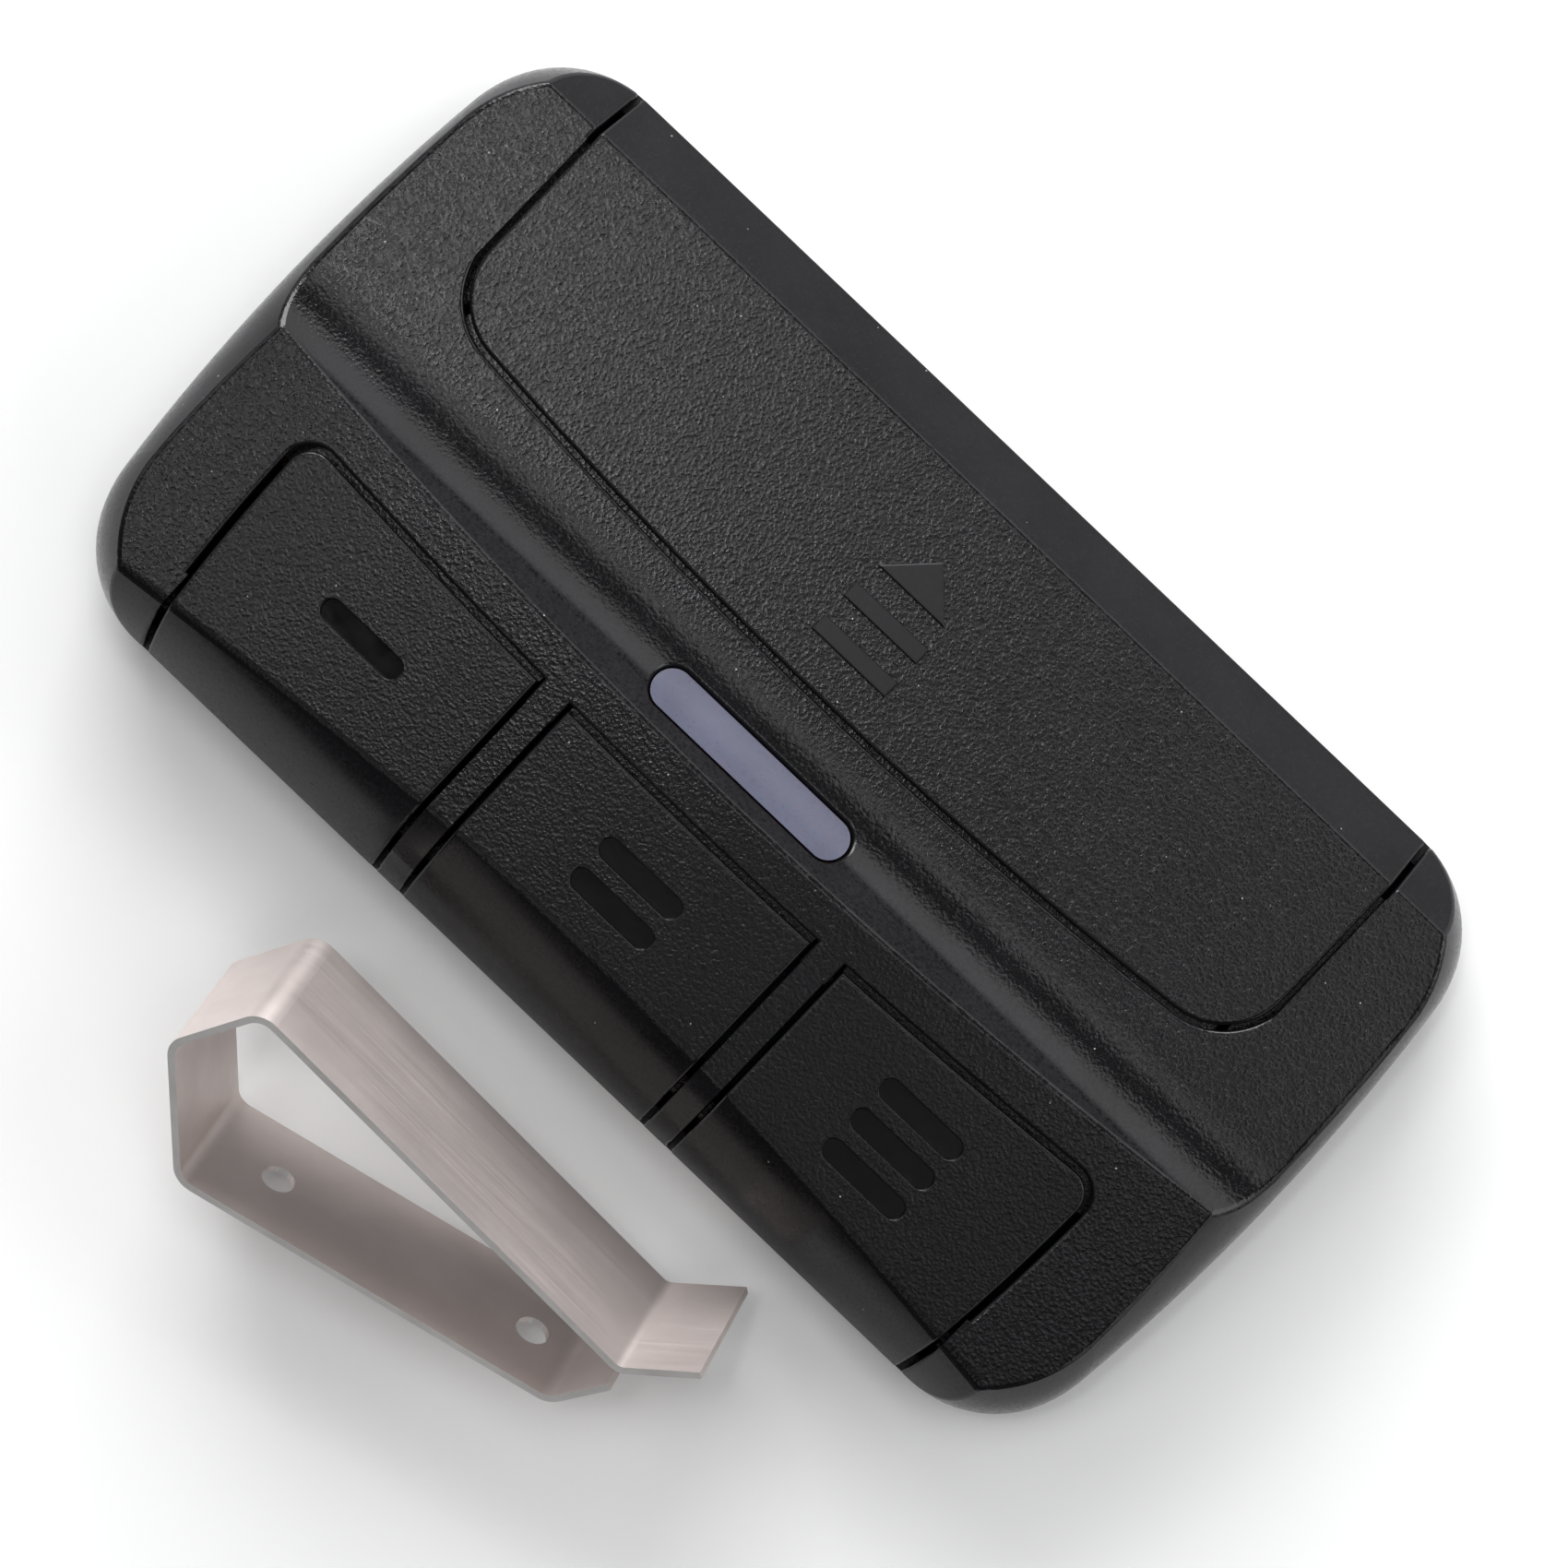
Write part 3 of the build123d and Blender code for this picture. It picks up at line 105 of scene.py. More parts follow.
def moulded_abs(name, pitch, depth, pit_shade_colour, dark, light, roughness, fade):
    """Black ABS from a spark-eroded tool: grained where it faces up, satin where it is steep.

    The pits of the grain are painted darker where the surface faces up, a painted shade for the
    shadow they cast on themselves.
    """
    material, tree, shader, place = new_material(name, IOR=ABS_IOR)
    coords = place.outputs["Object"]
    normal = add_node(tree, "ShaderNodeSeparateXYZ", links={0: place.outputs["Normal"]})
    flat = add_node(
        tree,
        "ShaderNodeMapRange",
        {"interpolation_type": "SMOOTHSTEP"},
        {"From Min": fade[0], "From Max": fade[1]},
        {"Value": normal.outputs["Z"]},
    )
    pits = add_node(
        tree,
        "ShaderNodeTexNoise",
        values={"Scale": 1 / pitch, "Roughness": GRAIN_RAGGEDNESS},
        links={"Vector": coords},
    )
    pebbles = add_node(
        tree,
        "ShaderNodeTexVoronoi",
        {"feature": "SMOOTH_F1"},
        {"Scale": PEBBLE_SCALE / pitch, "Smoothness": PEBBLE_SMOOTHNESS},
        {"Vector": coords},
    )
    relief = add_node(
        tree,
        "ShaderNodeMath",
        {"operation": "MULTIPLY_ADD"},
        {1: -PEBBLE_WEIGHT},
        {0: pebbles.outputs["Distance"], 2: pits.outputs["Fac"]},
    )
    grained = add_node(
        tree,
        "ShaderNodeMath",
        {"operation": "MULTIPLY"},
        links={0: relief.outputs["Value"], 1: flat.outputs["Result"]},
    )
    bump = add_node(
        tree,
        "ShaderNodeBump",
        values={"Strength": 1.0, "Distance": depth},
        links={"Height": grained.outputs["Value"]},
    )
    tree.links.new(bump.outputs["Normal"], shader.inputs["Normal"])
    gloss = add_node(
        tree,
        "ShaderNodeMapRange",
        values={
            "From Min": GLOSS_HEIGHTS[0],
            "From Max": GLOSS_HEIGHTS[1],
            "To Min": roughness[1],
            "To Max": roughness[0],
        },
        links={"Value": relief.outputs["Value"]},
    )
    tree.links.new(gloss.outputs["Result"], shader.inputs["Roughness"])
    worn = mottle(tree, shader, coords, ABS_MOTTLE, dark, light)
    # Painted shade: the low parts of the relief, where the surface faces up, are painted towards
    # the pit colour.
    pit_shade_share = add_node(
        tree,
        "ShaderNodeMapRange",
        values={
            "From Min": PIT_SHADE_HEIGHTS[0],
            "From Max": PIT_SHADE_HEIGHTS[1],
            "To Min": 1.0,
            "To Max": 0.0,
        },
        links={"Value": relief.outputs["Value"]},
    )
    shaded = add_node(
        tree,
        "ShaderNodeMath",
        {"operation": "MULTIPLY"},
        links={0: pit_shade_share.outputs["Result"], 1: flat.outputs["Result"]},
    )
    colour_with_pit_shade = add_node(
        tree,
        "ShaderNodeMix",
        {"data_type": "RGBA"},
        {"B": linear(pit_shade_colour)},
        {"Factor": shaded.outputs["Value"], "A": worn},
    )
    dust = add_node(
        tree, "ShaderNodeTexVoronoi", values={"Scale": 1 / DUST_PITCH}, links={"Vector": coords}
    )
    inside = add_node(
        tree,
        "ShaderNodeMath",
        {"operation": "LESS_THAN"},
        {1: DUST_RADIUS / DUST_PITCH},
        {0: dust.outputs["Distance"]},
    )
    chosen = add_node(
        tree,
        "ShaderNodeMath",
        {"operation": "GREATER_THAN"},
        {1: DUST_RARITY},
        {0: dust.outputs["Color"]},
    )
    speck = add_node(
        tree,
        "ShaderNodeMath",
        {"operation": "MULTIPLY"},
        links={0: inside.outputs["Value"], 1: chosen.outputs["Value"]},
    )
    dusted = add_node(
        tree,
        "ShaderNodeMix",
        {"data_type": "RGBA"},
        {"B": linear(DUST_COLOUR)},
        {"Factor": speck.outputs["Value"], "A": colour_with_pit_shade.outputs["Result"]},
    )
    tree.links.new(dusted.outputs["Result"], shader.inputs["Base Color"])
    return material


def dress(node, *materials):
    """Puts materials into a CAD node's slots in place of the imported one."""
    slots = nodes[node].data.materials
    slots.clear()
    for material in materials:
        slots.append(material)


# Spark-eroded black ABS: a fine uneven pebble grain that breaks the light up on the broad faces
# and fades out on the steep ones, where the tool was drawn off. Here and there lies a dust speck.
# Its pits are painted darker where it faces up, as painted shade.
case_abs = moulded_abs(
    "black_abs_spark_eroded",
    pitch=GRAIN_PITCH,
    depth=GRAIN_DEPTH,
    pit_shade_colour=GRAIN_PIT_SHADE,
    dark=ABS_BLACK,
    light=ABS_WORN,
    roughness=GRAIN_GLOSS,
    fade=GRAIN_FADE,
)
dress("front_cover", case_abs)

# Rear cover. The real one is the lower shell with the flat back, moulded in the same black ABS in
# a tool with a shallower grain, since it rubs on a pocket or a visor. Four screws close the case.
BACK_GRAIN_PITCH = 0.25 * MM
BACK_GRAIN_DEPTH = 0.010 * MM
GRAIN_ALL_OVER = (-2.0, -1.5)  # below the upward share of any normal, so it never fades
# Fine-grained black ABS: duller than the front and the same on every face.
# Its pits are painted darker on every face, as painted shade.
rear_abs = moulded_abs(
    "black_abs_fine_back",
    pitch=BACK_GRAIN_PITCH,
    depth=BACK_GRAIN_DEPTH,
    pit_shade_colour="#0c0c0d",
    dark="#161518",
    light="#1b1a1d",
    roughness=(0.40, 0.50),
    fade=GRAIN_ALL_OVER,
)
dress("rear_cover", rear_abs)

# Keys. Each is a hinged shell in black ABS with a finer grain than the case, which gives the
# thumb some grip. The sunk bars were cut into a polished insert, so their floors are glossy.
KEY_GRAIN_PITCH = 0.20 * MM
KEY_GRAIN_DEPTH = 0.027 * MM
BAR_HALF_LENGTH = 3.35 * MM
BAR_HALF_WIDTH = 0.75 * MM
BAR_PITCH = 2.62 * MM
KEY_PITCH = 23.2 * MM
BAR_MIDDLES = (-13.6 * MM, -13.65 * MM, -13.75 * MM)
LEVEL_SHARE = 0.9  # least upward share of the normal on a bar's floor
WAVE_PITCH = 1.1 * MM
WAVE_DEPTH = 0.006 * MM
HEIGHT_SPAN = (0.3, 0.7)  # heights of a pattern between which its gloss changes


def surface(tree, shader, height, depth, roughness):
    """Drives a shader's bump and its roughness from one height pattern."""
    bump = add_node(
        tree,
        "ShaderNodeBump",
        values={"Strength": 1.0, "Distance": depth},
        links={"Height": height},
    )
    gloss = add_node(
        tree,
        "ShaderNodeMapRange",
        values={
            "From Min": HEIGHT_SPAN[0],
            "From Max": HEIGHT_SPAN[1],
            "To Min": roughness[0],
            "To Max": roughness[1],
        },
        links={"Value": height},
    )
    tree.links.new(bump.outputs["Normal"], shader.inputs["Normal"])
    tree.links.new(gloss.outputs["Result"], shader.inputs["Roughness"])


# Fine-grained black ABS: a tighter and duller grain than the case has.
# Its pits are painted darker where it faces up, as painted shade.
key_abs = moulded_abs(
    "black_abs_key_grain",
    pitch=KEY_GRAIN_PITCH,
    depth=KEY_GRAIN_DEPTH,
    pit_shade_colour=GRAIN_PIT_SHADE,
    dark="#121114",
    light="#19181c",
    roughness=(0.18, 0.30),
    fade=GRAIN_FADE,
)
# Polished black ABS: the same plastic off a polished insert, so the bars' floors are dark and
# even, with the slow waves that hand polishing leaves.
bar_abs, tree, shader, place = new_material(
    "black_abs_polished",
    **{"Base Color": linear("#0b0a0c"), "IOR": ABS_IOR, "Specular IOR Level": 0.38},
)
waves = add_node(
    tree,
    "ShaderNodeTexNoise",
    values={"Scale": 1 / WAVE_PITCH},
    links={"Vector": place.outputs["Object"]},
)
surface(tree, shader, waves.outputs["Fac"], depth=WAVE_DEPTH, roughness=(0.13, 0.18))
for number, middle in enumerate(BAR_MIDDLES):
    node = f"key_{number + 1}"
    dress(node, key_abs, bar_abs)
    key_x = (number - 1) * KEY_PITCH
    bar_rows = [middle + (row - number / 2) * BAR_PITCH for row in range(number + 1)]
    for face in nodes[node].data.polygons:
        in_length = abs(face.center.x - key_x) < BAR_HALF_LENGTH
        in_width = any(abs(face.center.y - y) < BAR_HALF_WIDTH for y in bar_rows)
        if in_length and in_width and face.normal.z > LEVEL_SHARE:
            face.material_index = 1

# Battery cover. The real one is a thin sliding cover in the same grained ABS as the case. Its
# arrow and two ribs stand proud for the thumb, and are smooth.
MARK_BOXES = (
    # low x, low y, high x, high y in mm: two ribs and the arrow
    (-3.3, 6.5, 3.3, 7.9),
    (-3.3, 9.4, 3.3, 10.8),
    (-3.1, 12.3, 3.1, 15.5),
)
MARK_FLOOR = 8.4 * MM
DOWNWARD_SHARE = -0.1  # a face that looks further down belongs to the inside
# Satin black ABS: without grain, so the raised marks take the light evenly.
# Its pits are painted in the darker black, a faint painted shade.
mark_abs = moulded_abs(
    "black_abs_satin",
    pitch=0.30 * MM,
    depth=0.002 * MM,
    pit_shade_colour=ABS_BLACK,
    dark=ABS_BLACK,
    light="#1b1a1e",
    roughness=(0.30, 0.36),
    fade=GRAIN_FADE,
)
dress("battery_cover", case_abs, mark_abs)
for face in nodes["battery_cover"].data.polygons:
    x, y = face.center.x / MM, face.center.y / MM
    on_mark = any(
        low_x < x < high_x and low_y < y < high_y for low_x, low_y, high_x, high_y in MARK_BOXES
    )
    if on_mark and face.center.z > MARK_FLOOR and face.normal.z > DOWNWARD_SHARE:
        face.material_index = 1

# Indicator lens. The real one is a light pipe in smoke-tinted acrylic, clipped in from behind,
# with a satin top so that the three lights below blur into each other.
BUMPS_PER_PATCH = 12  # a patch of colour is that many bumps wide


def fine_finish(name, dark, light, pitch, depth, roughness, **values):
    """A material whose colour, gloss and fine relief all vary a little."""
    material, tree, shader, place = new_material(name, **values)
    coords = place.outputs["Object"]
    relief = add_node(
        tree,
        "ShaderNodeTexNoise",
        values={"Scale": 1 / pitch},
        links={"Vector": coords},
    )
    surface(tree, shader, relief.outputs["Fac"], depth, roughness)
    mottle(tree, shader, coords, BUMPS_PER_PATCH * pitch, dark, light)
    return material


# Smoked acrylic: a pale grey-blue window, milky rather than clear.
lens_acrylic = fine_finish(
    "smoked_acrylic_satin",
    "#616372",
    "#68697a",
    pitch=0.45 * MM,
    depth=0.006 * MM,
    roughness=(0.26, 0.36),
    **{"IOR": 1.49, "Subsurface Weight": 0.25, "Subsurface Scale": 1.0 * MM},
)
dress("indicator_lens", lens_acrylic)

# Indicator lights. Three chip LEDs soldered to the board right under the light pipe: a yellow
# phosphor cap in a white ceramic package.
LED_TOP_SHARE = 0.5  # least upward share of the normal on a cap
# Phosphor resin: pale yellow and a little translucent.
led_resin = fine_finish(
    "yellow_phosphor_resin",
    "#ded48a",
    "#e8e0a4",
    pitch=0.2 * MM,
    depth=0.004 * MM,
    roughness=(0.3, 0.4),
    **{"Subsurface Weight": 0.2},
)
# White ceramic: fired, so it is matt and even.
led_ceramic = fine_finish(
    "white_led_ceramic",
    "#dcdbd4",
    "#e6e5df",
    pitch=0.1 * MM,
    depth=0.002 * MM,
    roughness=(0.4, 0.55),
)
dress("indicator_leds", led_ceramic, led_resin)
for face in nodes["indicator_leds"].data.polygons:
    face.material_index = 1 if face.normal.z > LED_TOP_SHARE else 0

# Circuit board. The real one is FR4 laminate with tracks etched in copper under green solder
# mask, tin on the pads, and routed to its outline.
BOARD_TOP = 3.3 * MM
TRACK_WIDTH = 0.4 * MM
TRACK_RUN = 3.6 * MM
TRACK_RARITY = 0.76
TRACK_DEPTH = 0.035 * MM
VIA_PITCH = 3 * MM
VIA_RADIUS = 0.25 * MM
# Solder mask on FR4: a glossy green film that is lighter where copper runs under it.
board_mask, tree, shader, place = new_material("green_solder_mask", IOR=1.5)
coords = place.outputs["Object"]
# Short runs of track lie along the board and across it.
runs = []
for steps in ((TRACK_RUN, TRACK_WIDTH, 1.0), (TRACK_WIDTH, TRACK_RUN, 1.0)):
    cells = add_node(tree, "ShaderNodeVectorMath", {"operation": "SNAP"}, {1: steps}, {0: coords})
    chance = add_node(tree, "ShaderNodeTexWhiteNoise", links={"Vector": cells.outputs["Vector"]})
    run = add_node(
        tree,
        "ShaderNodeMath",
        {"operation": "GREATER_THAN"},
        {1: TRACK_RARITY},
        {0: chance.outputs["Value"]},
    )
    runs.append(run.outputs["Value"])
tracks = add_node(tree, "ShaderNodeMath", {"operation": "MAXIMUM"}, links={0: runs[0], 1: runs[1]})
green = add_node(
    tree,
    "ShaderNodeMix",
    {"data_type": "RGBA"},
    {"A": linear("#0f3d22"), "B": linear("#1f5f36")},
    {"Factor": tracks.outputs["Value"]},
)
via_field = add_node(
    tree, "ShaderNodeTexVoronoi", values={"Scale": 1 / VIA_PITCH}, links={"Vector": coords}
)
vias = add_node(
    tree,
    "ShaderNodeMath",
    {"operation": "LESS_THAN"},
    {1: VIA_RADIUS / VIA_PITCH},
    {0: via_field.outputs["Distance"]},
)
mask_colour = add_node(
    tree,
    "ShaderNodeMix",
    {"data_type": "RGBA"},
    {"B": linear("#c9b98a")},
    {"Factor": vias.outputs["Value"], "A": green.outputs["Result"]},
)
tree.links.new(mask_colour.outputs["Result"], shader.inputs["Base Color"])
surface(tree, shader, tracks.outputs["Value"], depth=TRACK_DEPTH, roughness=(0.25, 0.32))
dress("main_board", board_mask)

# Antenna. A wide printed copper loop at the end of the board away from the cell, left bare and
# dipped in gold flash against tarnish.
# Gold flash on etched copper: a warm matt metal.
gilt_copper = fine_finish(
    "gold_flashed_copper",
    "#cf9d60",
    "#dbab70",
    pitch=0.3 * MM,
    depth=0.004 * MM,
    roughness=(0.26, 0.36),
    Metallic=1.0,
)
dress("antenna_trace", gilt_copper)

# Chips. Two small-outline packages in black epoxy with tinned leads down both sides, soldered
# to the board by reflow.
CHIP_LEAD_TOP = 0.35 * MM
# Filled epoxy: near black and evenly matt from a blasted tool.
chip_epoxy = fine_finish(
    "black_chip_epoxy",
    "#19191b",
    "#1f1f21",
    pitch=0.08 * MM,
    depth=0.003 * MM,
    roughness=(0.45, 0.6),
    IOR=1.55,
)
# Reflowed tin: bright, with soft solder dimples.
lead_tin = fine_finish(
    "reflowed_tin",
    "#b3b5b8",
    "#c2c4c6",
    pitch=0.4 * MM,
    depth=0.01 * MM,
    roughness=(0.25, 0.4),
    Metallic=1.0,
)
for node in ("controller_chip", "radio_chip"):
    dress(node, chip_epoxy, lead_tin)
    for face in nodes[node].data.polygons:
        face.material_index = 1 if face.center.z < BOARD_TOP + CHIP_LEAD_TOP else 0

# Crystal. The real one is a quartz blank in a drawn can of steel, nickel plated and welded shut,
# and soldered to the board by its two legs.
# Nickel over drawn steel: bright, faintly streaked by the draw.
crystal_can = fine_finish(
    "drawn_nickel_can",
    "#bebdb6",
    "#cac9c3",
    pitch=0.5 * MM,
    depth=0.004 * MM,
    roughness=(0.2, 0.3),
    Metallic=1.0,
)
dress("radio_crystal", crystal_can)

# Resistors and capacitors. Chip parts: black glass over ceramic for the resistors, fired tan
# ceramic for the capacitors, each with a tinned cap at either end.
CAP_SHARE = 0.9  # least share of the normal along the board on an end cap
# Glass over ceramic: black, smooth and glossy.
resistor_glass = fine_finish(
    "black_resistor_glass",
    "#141416",
    "#1a1a1c",
    pitch=0.2 * MM,
    depth=0.003 * MM,
    roughness=(0.2, 0.3),
)
# Fired ceramic: tan, and matt as fired clay is.
capacitor_ceramic = fine_finish(
    "tan_capacitor_ceramic",
    "#9b7b55",
    "#aa8a63",
    pitch=0.1 * MM,
    depth=0.003 * MM,
    roughness=(0.4, 0.5),
)
for node, body in (("chip_resistors", resistor_glass), ("chip_capacitors", capacitor_ceramic)):
    dress(node, body, lead_tin)
    for face in nodes[node].data.polygons:
        face.material_index = 1 if abs(face.normal.x) > CAP_SHARE else 0

# Key switches. Each is a dome switch in black nylon with a stamped cover riveted on, and a grey
# plunger that the key's post presses. The programming switch is a smaller one.
COVER_PLATE_TOP = 0.35 * MM
COVER_PLATE_SHARE = 0.3  # least upward share of the normal on the cover
# Glass-filled nylon: dull and slightly mottled.
switch_nylon = fine_finish(
    "black_switch_nylon",
    "#18181a",
    "#202022",
    pitch=0.15 * MM,
    depth=0.004 * MM,
    roughness=(0.4, 0.5),
)
# Unfilled nylon: grey, a little smoother where the post rubs.
plunger_nylon = fine_finish(
    "grey_plunger_nylon",
    "#747477",
    "#808083",
    pitch=0.15 * MM,
    depth=0.004 * MM,
    roughness=(0.35, 0.45),
)
# Tinned sheet: bright and flat, scuffed in the strip.
cover_plate = fine_finish(
    "stamped_tin_plate",
    "#aeb0b2",
    "#bcbec0",
    pitch=0.4 * MM,
    depth=0.003 * MM,
    roughness=(0.25, 0.36),
    Metallic=1.0,
)
for node in ("switch_body_1", "switch_body_2", "switch_body_3", "program_switch_body"):
    dress(node, switch_nylon, cover_plate)
    plate_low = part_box(node)[1].z - COVER_PLATE_TOP
    for face in nodes[node].data.polygons:
        on_plate = face.center.z > plate_low and face.normal.z > COVER_PLATE_SHARE
        face.material_index = 1 if on_plate else 0
for node in ("switch_plunger_1", "switch_plunger_2", "switch_plunger_3", "program_button"):
    dress(node, plunger_nylon)

# Battery holder. The real one is a ring moulded in black polyester round the cell, open on top
# so that the cell can be changed, and pegged to the board.
# Polyester: satin black with a little flow marking.
holder_polyester = fine_finish(
    "black_holder_polyester",
    "#161618",
    "#1c1c1e",
    pitch=0.3 * MM,
    depth=0.004 * MM,
    roughness=(0.35, 0.45),
)
dress("battery_holder", holder_polyester)

# Battery contacts. The real ones are springs blanked from phosphor bronze and nickel plated,
# soldered to the board.
# Plated spring: bright, a little yellow from the bronze below.
contact_nickel = fine_finish(
    "nickel_plated_spring",
    "#c3bfb3",
    "#cfcbc1",
    pitch=0.3 * MM,
    depth=0.003 * MM,
    roughness=(0.18, 0.28),
    Metallic=1.0,
)
dress("battery_contact_positive", contact_nickel)
dress("battery_contact_negative", contact_nickel)

# Coin cell. The real one is a drawn stainless can crimped over its cap, with the fine rings that
# spinning leaves. It lies loose in its holder.
CELL_MIDDLE = (14.0 * MM, 9.2 * MM, 0.0)
SPUN_PITCH = 0.15 * MM
SPUN_DEPTH = 0.004 * MM
# Spun stainless: bright, with rings about its middle.
cell_steel, tree, shader, place = new_material("spun_cell_steel", Metallic=1.0)
off_middle = add_node(
    tree,
    "ShaderNodeVectorMath",
    {"operation": "SUBTRACT"},
    {1: CELL_MIDDLE},
    {0: place.outputs["Object"]},
)
flat_part = add_node(
    tree,
    "ShaderNodeVectorMath",
    {"operation": "MULTIPLY"},
    {1: (1.0, 1.0, 0.0)},
    {0: off_middle.outputs["Vector"]},
)
radius = add_node(
    tree,
    "ShaderNodeVectorMath",
    {"operation": "LENGTH"},
    links={0: flat_part.outputs["Vector"]},
)
rings = add_node(
    tree,
    "ShaderNodeTexNoise",
    {"noise_dimensions": "1D"},
    {"Scale": 1 / SPUN_PITCH},
    {"W": radius.outputs["Value"]},
)
surface(tree, shader, rings.outputs["Fac"], depth=SPUN_DEPTH, roughness=(0.2, 0.32))
ring_share = add_node(
    tree,
    "ShaderNodeMapRange",
    values={"From Min": MOTTLE_SPAN[0], "From Max": MOTTLE_SPAN[1]},
    links={"Value": rings.outputs["Fac"]},
)
ring_colour = add_node(
    tree,
    "ShaderNodeMix",
    {"data_type": "RGBA"},
    {"A": linear("#bdbcb7"), "B": linear("#cdccc8")},
    {"Factor": ring_share.outputs["Result"]},
)
tree.links.new(ring_colour.outputs["Result"], shader.inputs["Base Color"])
dress("coin_cell", cell_steel)

# Case screws. The real ones are self-tapping cross-head screws in steel, zinc plated and
# blackened, driven from the back.
# Black zinc: dark grey metal, dull where the driver hasn't been.
screw_zinc = fine_finish(
    "black_zinc_steel",
    "#343437",
    "#414145",
    pitch=0.3 * MM,
    depth=0.004 * MM,
    roughness=(0.32, 0.45),
    Metallic=1.0,
)
dress("case_screws", screw_zinc)

# Visor clip. A strip of stainless spring steel, satin rolled, with two punched holes, bent cold
# in a brake. Its two long edges are painted near white, a painted highlight where they catch the
# light.
STRIP_WAY = (0.129027, -0.558876, 0.819152)  # across the strip, from its lower edge up
BRUSH_PITCH = 0.12 * MM  # the real lines are finer; this is as fine as the picture shows
BRUSH_LENGTH = 9 * MM
BRUSH_DEPTH = 0.002 * MM
BRUSH_DETAIL = 3.0
ROLL_STAIN = 5 * MM
EDGE_SHARE = 0.9  # least share of the normal across the strip on an edge
# Satin spring steel: a warm grey metal with faint lines along the strip.
clip_steel, tree, shader, place = new_material("satin_spring_steel", Metallic=0.78)
coords = place.outputs["Object"]
across = add_node(
    tree, "ShaderNodeVectorMath", {"operation": "DOT_PRODUCT"}, {1: STRIP_WAY}, {0: coords}
)
split = add_node(tree, "ShaderNodeSeparateXYZ", links={0: coords})
lines_at = add_node(
    tree,
    "ShaderNodeCombineXYZ",
    links={0: across.outputs["Value"], 1: split.outputs["X"], 2: split.outputs["Y"]},
)
stretched = add_node(
    tree,
    "ShaderNodeMapping",
    values={"Scale": (1 / BRUSH_PITCH, 1 / BRUSH_LENGTH, 1 / BRUSH_LENGTH)},
    links={"Vector": lines_at.outputs["Vector"]},
)
lines = add_node(
    tree,
    "ShaderNodeTexNoise",
    values={"Scale": 1.0, "Detail": BRUSH_DETAIL},
    links={"Vector": stretched.outputs["Vector"]},
)
surface(tree, shader, lines.outputs["Fac"], depth=BRUSH_DEPTH, roughness=(0.42, 0.50))
mottle(tree, shader, coords, ROLL_STAIN, "#dad1ce", "#e2d9d6")
# Edge steel: the same steel painted lighter along the strip's two long edges, a painted highlight.
edge_highlight_steel = fine_finish(
    "steel_painted_edge_highlight",
    "#ebe8e6",
    "#f5f3f1",
    pitch=0.3 * MM,
    depth=0.002 * MM,
    roughness=(0.40, 0.48),
    Metallic=0.6,
)
dress("visor_clip", clip_steel, edge_highlight_steel)
# The faces of the two long edges take the painted highlight.
for face in nodes["visor_clip"].data.polygons:
    if abs(face.normal.dot(Vector(STRIP_WAY))) > EDGE_SHARE:
        face.material_index = 1

# Floor. A sheet of white paper, cut from the roll and taped down flat, that the remote and its
# clip lie on.
FLOOR_HALF = 0.7
floor_mesh = bpy.data.meshes.new("paper_sweep")
corners = [(x * FLOOR_HALF, y * FLOOR_HALF, 0) for x, y in ((-1, -1), (1, -1), (1, 1), (-1, 1))]
floor_mesh.from_pydata(corners, [], [(0, 1, 2, 3)])
floor = bpy.data.objects.new("paper_sweep", floor_mesh)
bpy.context.scene.collection.objects.link(floor)
# White paper: matt and plain.
paper, tree, shader, place = new_material(
    "white_paper", **{"Base Color": linear("#f7f7f7"), "Roughness": 0.9, "Specular IOR Level": 0.2}
)
floor_mesh.materials.append(paper)

# Studio light. Soft boxes of white cloth stand in rings round the camera, all a metre off and
# facing the remote: bright ones on the left and behind the battery cover, weak ones elsewhere.
MIDDLE = Vector((0, 0, 5 * MM))
BOX_DISTANCE = 1.0
SOFT_BOXES = (
    # name, compass from +X and angle off the zenith in degrees, width, height, radiance
    ("strip_0", 0, 10.5, 0.2, 0.09, 0.82),
    ("strip_60", 60, 10.5, 0.2, 0.09, 0.63),
    ("strip_180", 180, 10.5, 0.2, 0.09, 13.2),
    ("strip_240", 240, 10.5, 0.2, 0.09, 0.75),
    ("strip_300", 300, 10.5, 0.2, 0.09, 0.65),
    ("overhead_0", 0, 20, 0.36, 0.26, 1.53),
    ("overhead_60", 60, 20, 0.36, 0.26, 1.81),
    ("overhead_120", 120, 20, 0.36, 0.26, 2.49),
    ("overhead_180", 180, 20, 0.36, 0.26, 1.72),
    ("overhead_300", 300, 20, 0.36, 0.26, 0.36),
    ("raised_210", 210, 31, 0.3, 0.11, 4.1),
    ("slanting_135", 135, 40, 0.5, 0.32, 0.44),
    ("slanting_270", 270, 40, 0.5, 0.32, 1.0),
    ("standing_0", 0, 66, 0.72, 0.56, 1.4),
    ("standing_45", 45, 66, 0.72, 0.56, 2.89),
    ("standing_90", 90, 66, 0.72, 0.56, 1.92),
    ("standing_135", 135, 66, 0.72, 0.56, 8.35),
    ("standing_180", 180, 66, 0.72, 0.56, 1.2),
)
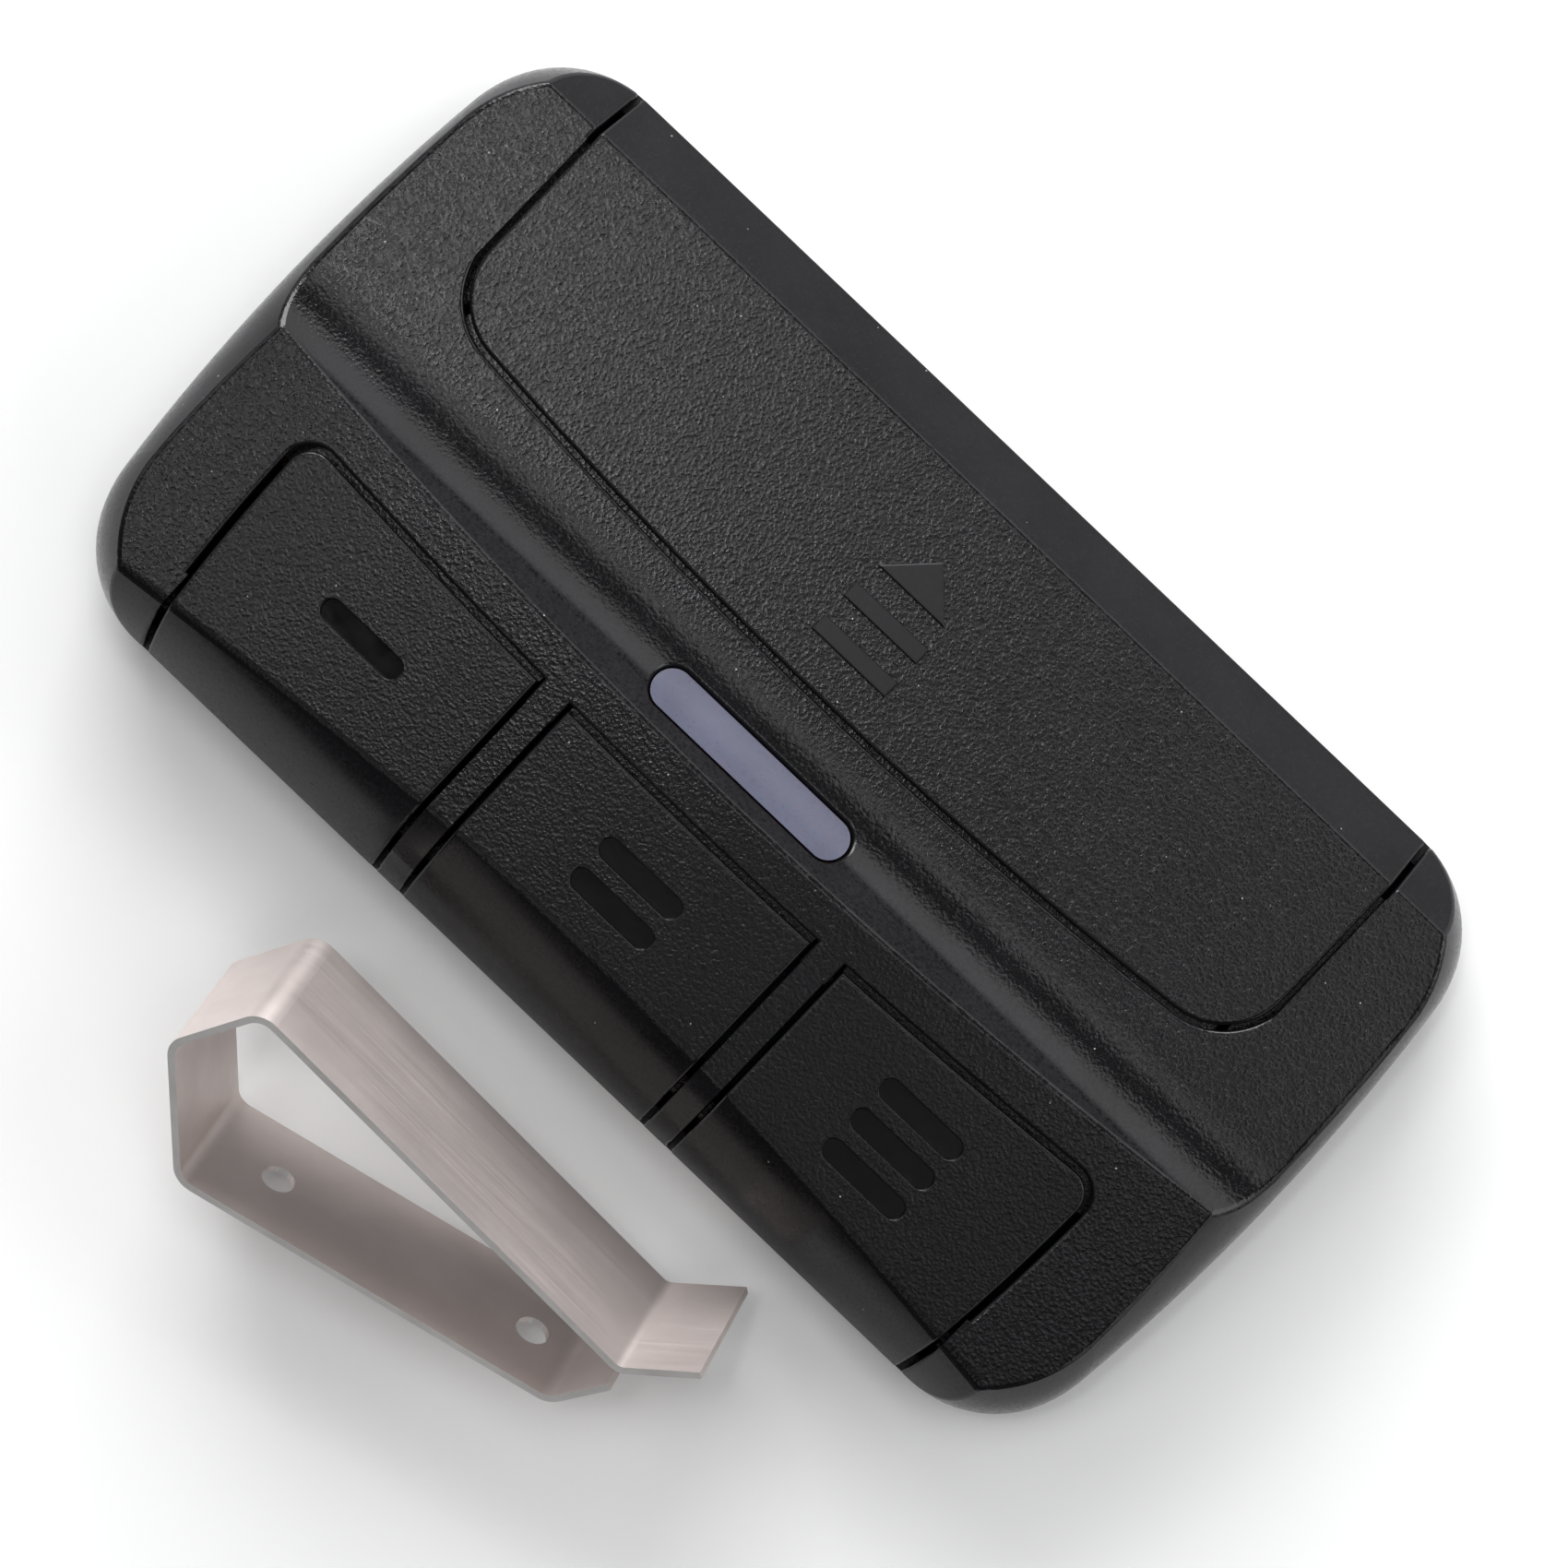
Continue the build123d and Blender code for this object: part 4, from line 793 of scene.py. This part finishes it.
for name, compass, off_zenith, width, height, radiance in SOFT_BOXES:
    light = bpy.data.lights.new(name, "AREA")
    light.shape = "RECTANGLE"
    light.size = width
    light.size_y = height
    light.energy = radiance * math.pi * width * height
    lamp = bpy.data.objects.new(name, light)
    turn, lean = math.radians(compass), math.radians(off_zenith)
    way = Vector((math.cos(turn) * math.sin(lean), math.sin(turn) * math.sin(lean), math.cos(lean)))
    lamp.location = MIDDLE + way * BOX_DISTANCE
    lamp.rotation_euler = way.to_track_quat("Z", "Y").to_euler()
    bpy.context.scene.collection.objects.link(lamp)

# Room. The walls of the real one are painted as pale as the paper, and are left unlit while the
# picture is taken, so they look pale but send little light back.
ROOM_LIGHT = 0.1
ROOM_SEEN = 0.8
world = bpy.data.worlds.new("pale_room")
world.use_nodes = True
room = world.node_tree
backdrop = room.nodes["Background"]
backdrop.inputs["Color"].default_value = linear("#f4f5f8")
looked_at = add_node(room, "ShaderNodeLightPath")
strength = add_node(
    room,
    "ShaderNodeMapRange",
    values={"To Min": ROOM_LIGHT, "To Max": ROOM_SEEN},
    links={"Value": looked_at.outputs["Is Camera Ray"]},
)
room.links.new(strength.outputs["Result"], backdrop.inputs["Strength"])
bpy.context.scene.world = world
# The photograph's paper and blacks are printed hard, so the picture is too.
PRINT_GAMMA = 0.8
bpy.context.scene.view_settings.view_transform = "Standard"
bpy.context.scene.view_settings.gamma = PRINT_GAMMA

# Camera. It looks straight down on the remote from arm's length, turned so that the keys run
# down to the right.
CAMERA_PLACE = Vector((8.0, -1.8, 330.0)) * MM
CAMERA_AIM = Vector((2.3, -1.8, 5.0)) * MM
PICTURE_UP = Vector((-0.6902, 0.7236, 0.0))
LENS_LENGTH = 115.9
SENSOR_WIDTH = 36.0
back = (CAMERA_PLACE - CAMERA_AIM).normalized()
right = PICTURE_UP.cross(back).normalized()
up = back.cross(right)
camera_data = bpy.data.cameras.new("camera")
camera_data.sensor_width = SENSOR_WIDTH
camera_data.lens = LENS_LENGTH
camera_data.clip_start = 0.01
camera_data.clip_end = 10.0
camera = bpy.data.objects.new("camera", camera_data)
facing = Matrix((right, up, back)).transposed().to_4x4()
camera.matrix_world = Matrix.Translation(CAMERA_PLACE) @ facing
bpy.context.scene.collection.objects.link(camera)
bpy.context.scene.camera = camera
